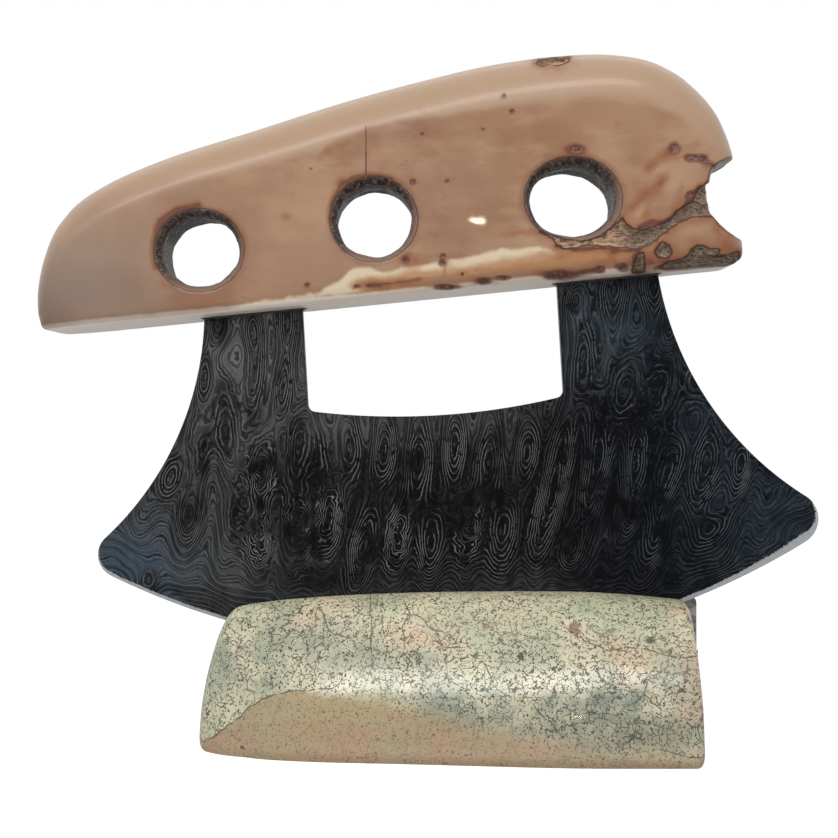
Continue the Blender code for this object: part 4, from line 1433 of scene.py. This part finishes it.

# Polished fossil ivory: warm tan under a clear polish, cream and orange along the foot, with ringed
# pits, soft brown stains, and grey fibres where it has broken open. A highlight is painted along the
# crown, and a painted reflection of the white floor lightens the lower chamfer and the underside
ivory_material, ivory, place = new_finish("fossil_ivory")
across, down, foot = (stored(ivory, name) for name in ("seen_across", "seen_down", "above_foot"))
depth_in = abs(ivory.node("ShaderNodeSeparateXYZ", {0: place}, output="Y")) * millimetres
soft = cloud(place, 60, 3)
fine = cloud(place, 380, 3)
ragged = cloud(place, 700, 3)
drawn = cloud(stretched(place, (1, 1, 2.6)), 110, 4, .6)
left_colour = coated(
    (160, 136, 115), (ramp_up(down, 210, 300), (128, 107, 95)),
    (ramp_up(soft, .4, .6) * .6, (146, 112, 90)))
# Painted highlight along the rounded crown
crown = ramp_up(stored(ivory, "crown_edge") + stir(place, 200, 3, 9), 5, -5)
crown_colour = tint(ramp_up(depth_in, 10.9, 8.2), (165, 134, 106), (168, 140, 112))
cream = ramp_up(stored(ivory, "cream_edge") + stir(place, 330, 3, 9), 2.5, -2.5)
orange = ramp_up(stored(ivory, "orange_edge") + stir(place, 260, 3, 12), 4, -4)
low_strip = ramp_up(foot + (fine - .5) * 2, 3.4, 1.8) * ramp_up(across, 390, 440)
# Painted reflection of the white floor: the lower chamfer and the underside are painted near white
# for the light from below
facet = ramp_up(foot + (fine - .5) * .5, 1.5, .8)
facet_colour = coated(
    (234, 222, 210), (ramp_up(across, 300, 420), (228, 208, 188)),
    (ramp_up(cloud(stretched(place, (1, 1, 5)), 160, 3), .46, .62) * .6, (228, 216, 200)))
brown_end = ramp_up(across, 470, 560)
colour = coated(
    (138, 98, 67),
    (ramp_up(soft, .36, .64), (160, 124, 96)),
    (ramp_up(drawn, .50, .64) * .5, (136, 88, 54)),
    (ramp_up(drawn, .48, .34) * .35, (178, 140, 104)),
    (ramp_up(cloud(place, 32, 3), .50, .66) * .5, (134, 96, 74)),
    (ramp_up(cloud(place, 45, 2), .48, .36) * .4, (176, 142, 110)),
    (ramp_up(across, 230, 80) * .85, left_colour),
    (stored(ivory, "light_patch") * .6, (182, 148, 118)),
    # painted highlight along the crown, grained by the drawn cloud
    (crown * (.35 + .6 * ramp_up(across, 90, 200)), crown_colour),
    (crown * ramp_up(drawn, .45, .62) * .3, (172, 138, 116)),
    (cream * .92, (214, 196, 166)),
    (orange * .8, (166, 114, 68)),
    (low_strip * .6, (136, 106, 84)),
    (facet * (.45 + .5 * ramp_up(across, 210, 320)), facet_colour),
    # the underside, painted near white as a painted reflection of the floor
    (ramp_up(foot, .7, .2) * (.95 - .3 * brown_end), (248, 234, 224)))

# Stains and pits
halo = ramp_up(stored(ivory, "rough_edge") + stir(place, 320, 3, 16), 13, 1)
brown = stored(ivory, "brown_stain") * 1.35 + stir(place, 300, 4, 1.1, .6)
purple = stored(ivory, "purple_stain") * 1.3 + stir(place, 340, 3, .8)
spot = stored(ivory, "spot_reach") + (ragged - .5) * .9
spot_core = tint(ramp_up(cloud(place, 1300, 3), .45, .62), (58, 32, 26), (122, 84, 66))
hair = ramp_up(abs(across - 366 + stir(place, 300, 2, 1.5)), .8, .25)
hair = hair * ramp_up(down, 124, 130) * ramp_up(down, 178, 174)
colour = coated(
    colour,
    (halo * .55, (138, 78, 40)),
    (ramp_up(brown, .12, .80) * .75, (140, 80, 42)),
    (ramp_up(brown, .70, 1.15) * .85, (82, 40, 26)),
    (ramp_up(purple, .25, .75) * .7, (96, 62, 54)),
    (ramp_up(spot, 1.5, .9) * .8, (104, 48, 30)),
    (ramp_up(spot, .82, .62) * .85, spot_core),
    (hair * (.35 + .55 * ramp_up(down, 148, 154)), (66, 44, 36)))

# Rims and walls of the holes, with fibres along them
hole = stored(ivory, "hole_distance") + (ragged - .5) * .5
fibre = cloud(stretched(place, (1, .3, 1)), 700, 4, .65)
fibre_fine = cloud(stretched(place, (1, .35, 1)), 1700, 3, .7)
wall = ramp_up(hole, .60, .40)
front_lip = ramp_up(depth_in, 9.2, 10.6) * ramp_up(ragged, .42, .58)
lit_lip = ramp_up(depth_in, 8.6, 9.8) * ramp_up(stored(ivory, "low_right"), -.1, .5)
wall_colour = coated(
    (40, 33, 34),
    (ramp_up(fibre, .38, .62), (92, 76, 70)),
    (ramp_up(fibre_fine, .52, .66) * .65, (156, 138, 124)),
    (ramp_up(fibre_fine, .46, .36) * .75, (24, 21, 25)),
    (front_lip * .3, (134, 92, 68)),
    (lit_lip * .8, (142, 114, 98)))
broken = stored(ivory, "broken_edge")
broken_wall = ramp_up(broken + (ragged - .5) * .4, .42, .2)
notch_colour = tint(ramp_up(fibre, .36, .6), (104, 92, 86), (164, 156, 146))
colour = coated(
    colour,
    (ramp_up(hole + stir(place, 200, 3, 2), 1.9, .9) * .5, (126, 76, 48)),
    (wall, wall_colour),
    (ramp_up(abs(hole - .62), .20, .05) * .85, (50, 34, 30)),
    (broken_wall * .9, notch_colour),
    (ramp_up(abs(broken - .5 + (ragged - .5) * .4), .22, .06) * .8, (60, 36, 30)))

# The porous seam: grey brown fibres, peach on the ledge under the right hole, in a dark outline
seam_edge = stored(ivory, "rough_edge") + (ragged - .5) * 5 + broken_wall * 40
seam_mask = ramp_up(seam_edge, 1.0, -1.0)
grain = cloud(shifted(stretched(place, (1, 1, 2)), 300, .002), 1250, 4, .7)
peach_ledge = ramp_up(across, 634, 610) * ramp_up(across, 540, 560)
ledge_grain = cloud(stretched(place, (1, 1, 3)), 600, 3)
seam_colour = coated(
    (74, 60, 52),
    (ramp_up(grain, .38, .62), (142, 122, 102)),
    (ramp_up(cloud(place, 360, 3), .5, .62) * .6, (104, 76, 56)),
    (peach_ledge * ramp_up(ledge_grain, .38, .55) * .9, (192, 152, 120)),
    (ramp_up(grain, .42, .34) * .7, (36, 26, 24)))
colour = coated(
    colour, (seam_mask, seam_colour), (ramp_up(abs(seam_edge - .9), 1.5, .5) * .85, (50, 28, 22)))
rough_share = either(either(wall, ramp_up(seam_edge, 6, 2)), broken_wall * .6)
rough = .33 + .10 * fine + .45 * rough_share
height = fibre_fine * wall + grain * seam_mask - ramp_up(spot, 1, .6) * .6 - hair * .8
height = height + soft * .9 + fine * .05 + broken_wall * fibre * .5
finish_surface(
    ivory, colour, rough, bump=height, bump_height=.00018, coat_weight=.14, coat_roughness=.03,
    subsurface_weight=.05, subsurface_scale=.0015)
worn_mesh = handle.data
bpy.data.objects.remove(handle, do_unlink=True)
handle = grown("ivory_handle", worn_mesh, relief_tree, {
    "Seam Depth": .00055, "Pit Depth": .00045, "Fibre Depth": .00022, "Finish": ivory_material})
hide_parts("handle")
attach(handle, "knife")


# Floor and light
# A white floor that keeps the soft shadow under the stand, a white surround, and soft lamps above
# and around. Polish mirrors only the window strip, the back strip and one small warm glint.
floor_half = 3.0
world_level = 0.55
floor_glow = 0.69                 # of the floor as the camera sees it

floor_mesh = bpy.data.meshes.new("floor")
floor_mesh.from_pydata(
    [(-floor_half, -floor_half, 0), (floor_half, -floor_half, 0), (floor_half, floor_half, 0),
     (-floor_half, floor_half, 0)], [], [(0, 1, 2, 3)])
floor = put_in_scene("floor", floor_mesh)
floor_material, ground_finish, place = new_finish("white_floor")
camera_ray = Field(floor_material.node_tree, floor_material.node_tree.nodes.new(
    "ShaderNodeLightPath").outputs["Is Camera Ray"])
glow = tint(camera_ray, (0, 0, 0), (floor_glow, floor_glow, floor_glow, 1))
finish_surface(
    ground_finish, paint(196, 196, 196), .9, emission_color=glow, emission_strength=1.0)
floor_mesh.materials.append(floor_material)

world = bpy.data.worlds.new("white_room")
world.use_nodes = True
world.node_tree.nodes.clear()
bpy.context.scene.world = world
sky = Field(world.node_tree)
rays = world.node_tree.nodes.new("ShaderNodeLightPath")
seen = Field(world.node_tree, rays.outputs["Is Camera Ray"])
for kind in ("Is Glossy Ray", "Is Transmission Ray"):
    seen = either(seen, Field(world.node_tree, rays.outputs[kind]))
level = world_level + (1 - world_level) * seen
background = sky.node("ShaderNodeBackground", {"Color": (1, 1, 1, 1), "Strength": level})
sky.node("ShaderNodeOutputWorld", {"Surface": background})

white = (1, 1, 1)
# Name, place, aim, roll, width and depth, power, colour, whether polish mirrors it, and whether
# it lights the rest
lamps = (
    ("soft_ceiling", (-.06, -.45, .58), (0, 0, .03), 0, .60, .30, 1.15, white, False, True),
    ("window_strip", (-.06, -.50, .54), (0, 0, .03), 42, .62, .12, 1.8, white, True, True),
    ("left_fill", (-.60, -.50, .35), (0, 0, .07), 0, .40, .40, .35, white, False, True),
    ("back_strip", (.05, .50, .80), (0, 0, .12), 0, 1.3, .016, .6, white, True, True),
    ("front_glint", (.017, -.335, .143), (0, 0, .08), 0, .0055, .0018, .010, (1, .86, .62), True,
     False),
)
for name, lamp_place, aim, roll, width, depth, power, lamp_colour, mirrored, lighting in lamps:
    lamp_data = bpy.data.lights.new(name, "AREA")
    lamp_data.shape = "RECTANGLE"
    lamp_data.size = width
    lamp_data.size_y = depth
    lamp_data.energy = power
    lamp_data.color = lamp_colour
    lamp = put_in_scene(name, lamp_data)
    lamp.location = lamp_place
    facing = (Vector(aim) - Vector(lamp_place)).to_track_quat("-Z", "Y")
    lamp.rotation_euler = (facing @ Quaternion((0, 0, 1), math.radians(roll))).to_euler()
    lamp.visible_glossy = mirrored
    lamp.visible_diffuse = lighting

bpy.context.scene.view_settings.view_transform = "Standard"
